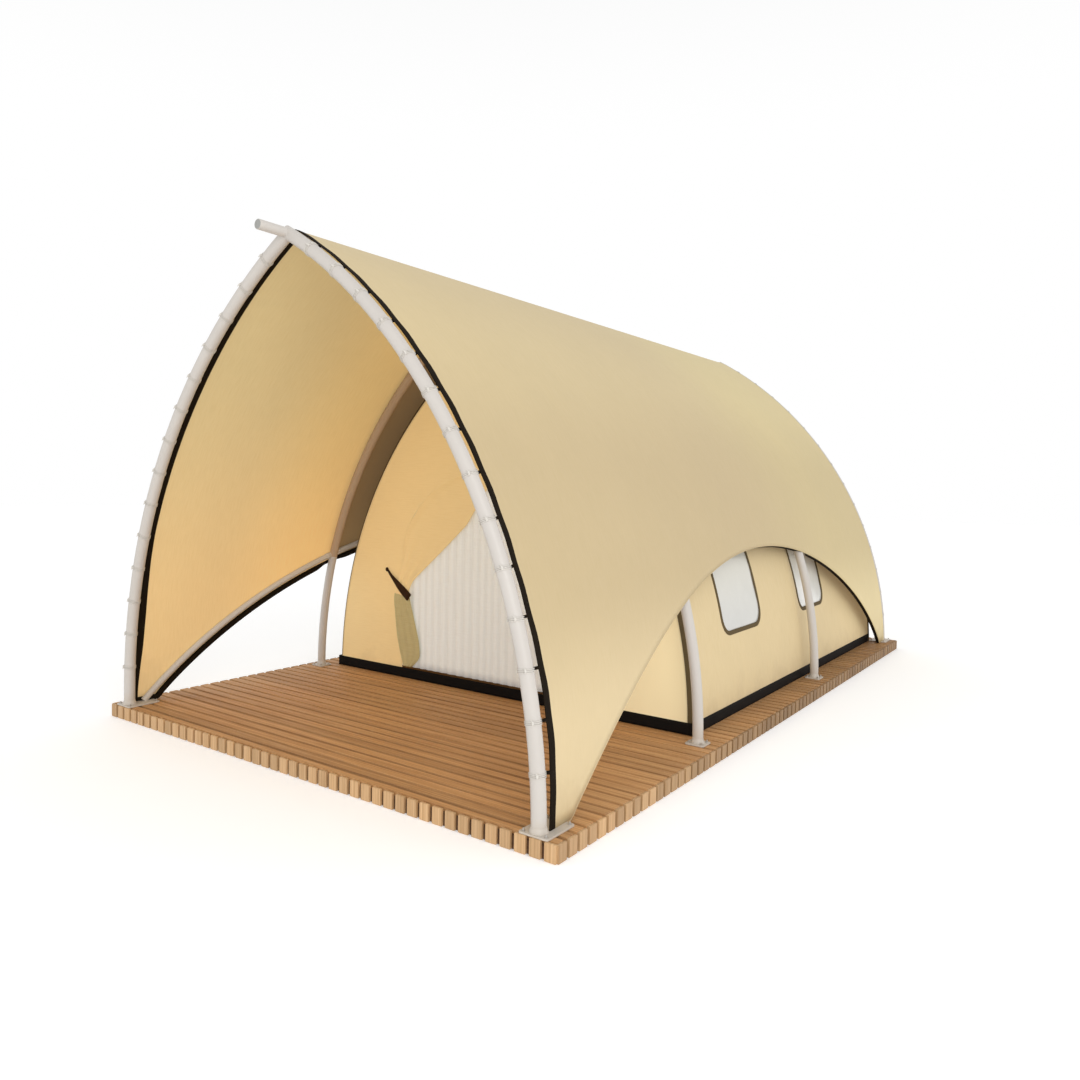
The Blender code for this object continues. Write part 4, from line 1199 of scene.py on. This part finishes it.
# The fold value goes to the net's finish, which paints shade into the pleats' hollows.
net, net_area = sheet("net_curtain", np.stack([x, INNER_FRONT + 0.0115 + depth, DECK_TOP + z], -1),
                      np.stack([1.3 * x, z], -1), net_cloth, ["door_curtain"], 0.0012,
                      values={"fold": -fold})

# %% A door cloth
FREE_EDGE = np.array([[0, 0.0, 2.20], [.08, -.06, 2.08], [.2, -.19, 1.89], [.3, -.31, 1.71], [.45, -.66, 1.40],
                      [.6, -1.05, 1.07], [.66, -1.11, .95], [.74, -1.07, .80], [.88, -.95, .42], [.95, -.93, .24],
                      [1, -1.05, .128]])
FIXED_SIDE = np.array([[0, 0.0, 2.29], [.08, -.27, 2.27], [.2, -.64, 2.15], [.3, -.90, 1.98], [.45, -1.17, 1.62],
                       [.6, -1.26, 1.15], [.66, -1.31, .97], [.74, -1.33, .85], [.88, -1.28, .45], [.95, -1.22, .24],
                       [1, -1.17, .128]])


def smooth_line(knots, t):
    """A line through knots (share, x, z): straight between them, then averaged over nine neighbouring places."""
    kernel = np.hanning(11)[1:-1]
    padded = [np.pad(np.interp(t, knots[:, 0], knots[:, k]), 4, mode="reflect", reflect_type="odd") for k in (1, 2)]
    return np.stack([np.convolve(a, kernel / kernel.sum(), mode="valid") for a in padded], -1)


def door_cloth(side, t, u):
    """Points for shares t down the cloth and u across it: ruled from the fixed side to the free edge, with folds
    in y that grow towards the tie and open again in the tail."""
    fixed, free = smooth_line(FIXED_SIDE, t)[:, None, :], smooth_line(FREE_EDGE, t)[:, None, :]
    flat = fixed + u[:, None] * (free - fixed)
    t = t[:, None]
    deep = 0.0075 * ease(t, 0.30, 0.62) * (1 - 0.25 * ease(t, 0.70, 0.95))
    gather = np.exp(-((t - 0.66) / 0.05) ** 2)
    folds = np.cos(2 * np.pi * (3.2 * u + 0.15 * np.sin(5 * t))) * deep * ease(u, 0.0, 0.12)
    bow = -0.003 * np.sin(np.pi * u) * (1 - gather)
    sunk = 0.016 * (1 - ease(u, 0.0, 0.20)) * ease(t, 0.70, 0.62)
    y = INNER_FRONT - 0.0215 + folds + bow + sunk - 0.004 * gather * np.sin(np.pi * u)
    return np.stack([-side * flat[..., 0], y, DECK_TOP + flat[..., 1]], -1)


print("the tail's greatest width:", round(float(abs(FIXED_SIDE[-3:, 1] - FREE_EDGE[-3:, 1]).max()), 3))

# %% Ties, and both door cloths
TIE_HOOK, TIE_END = np.array([1.43, 1.17]), np.array([1.085, 0.885])


def strap_shape(side):
    """The tie: a flat strap that widens from its ring on the wall to the knot on the gathered cloth."""
    t = np.linspace(0, 1, 25)
    flat = TIE_HOOK + (TIE_END - TIE_HOOK) * t[:, None]
    over = INNER_FRONT - 0.0335 - 0.006 * np.sin(np.pi * ease(t, 0.2, 1.0)) + 0.016 * ease(t, 0.25, 0.0)
    line = np.stack([side * flat[:, 0], over, DECK_TOP + flat[:, 1]], -1)
    first, second, _ = directions(line, (0, 1, 0))
    width = 0.50 + 1.15 * ease(t, 0.05, 0.85)
    strap = loft(sweep(line, first * width[:, None], second, rounded_outline(0.058, 0.0045, 0.002, 2)))
    raised = np.array([0, -0.004, 0])
    return join(strap, ball(line[-3] + raised, (0.040, 0.012, 0.050)), ball(line[0] + raised, (0.024, 0.008, 0.024)))


t, u = np.linspace(0, 1, 131), np.linspace(0, 1, 61)
reverse = (t[:-1, None] > 0.69) & (u[:-1] > 0.03)
for side_name, side in SIDES:
    points = door_cloth(side, t, u)
    cloth, area = sheet(f"door_cloth_{side_name}_swept", points, points[..., [0, 2]], [canvas_lit, canvas_back_shaded],
                        [f"door_cloth_{side_name}"], 0.002, side < 0)
    # The reverse faces in the tails take the shaded copy of the canvas: painted shade.
    cloth.data.polygons.foreach_set("material_index", reverse.astype(np.int32).ravel())
    piece(f"door_tie_{side_name}_strap", strap_shape(side), tie_cloth, [f"door_tie_{side_name}"],
          smooth_angle=50)

# %% [markdown]
# ## Sheets of cloth
#
# The canopy is cut as wide as its girth and as long as the tent, less the two side arcs.

# %% [markdown]
# ## Floor and light
#
# The photograph has a white ground and soft daylight that comes mostly from the front and the right. A wide
# pale floor, a white sky and one large soft lamp give the same.

# %% Floor
FLOOR_HALF = 60.0
floor_points = np.column_stack([FLOOR_HALF * CORNERS, np.full(4, -0.001)])
floor_mesh = bpy.data.meshes.new("floor")
floor_mesh.from_pydata(floor_points.tolist(), [], [[0, 1, 2, 3]])
floor_paint, _, shader = finish("pale_floor")
shader["Base Color"].default_value = (0.94, 0.94, 0.94, 1.0)
shader["Roughness"].default_value = 0.9
shader["Emission Color"].default_value = (1.0, 1.0, 1.0, 1.0)
shader["Emission Strength"].default_value = 0.22
floor_mesh.materials.append(floor_paint)
floor = bpy.data.objects.new("floor", floor_mesh)
bpy.context.scene.collection.objects.link(floor)
print("floor:", 2 * FLOOR_HALF, "m wide")

# %% Sky and lamp
world = bpy.data.worlds.new("studio")
bpy.context.scene.world = world
world.use_nodes = True
sky = world.node_tree.nodes["Background"]
desk = Desk(world.node_tree)
overhead = desk.ramp(desk.split(desk.where("Generated"))[2], 0.35, 0.95)
desk.put(sky.inputs["Color"], desk.mix(overhead, (1.0, 1.0, 1.0), (0.72, 0.72, 0.72)))
sky.inputs["Strength"].default_value = 1.0

LAMP_AT, LAMP_AIM = Vector((12.0, -13.0, 7.0)), Vector((0.0, 0.0, 1.0))
lamp_data = bpy.data.lights.new("key", "AREA")
lamp_data.shape, lamp_data.size, lamp_data.energy = "SQUARE", 8.0, 800.0
lamp = bpy.data.objects.new("key", lamp_data)
lamp.location = LAMP_AT
lamp.rotation_euler = (LAMP_AIM - LAMP_AT).to_track_quat("-Z", "Y").to_euler()
bpy.context.scene.collection.objects.link(lamp)
bpy.context.scene.view_settings.view_transform = "Standard"
print("lamp:", lamp_data.size, "m wide,", lamp_data.energy, "W")
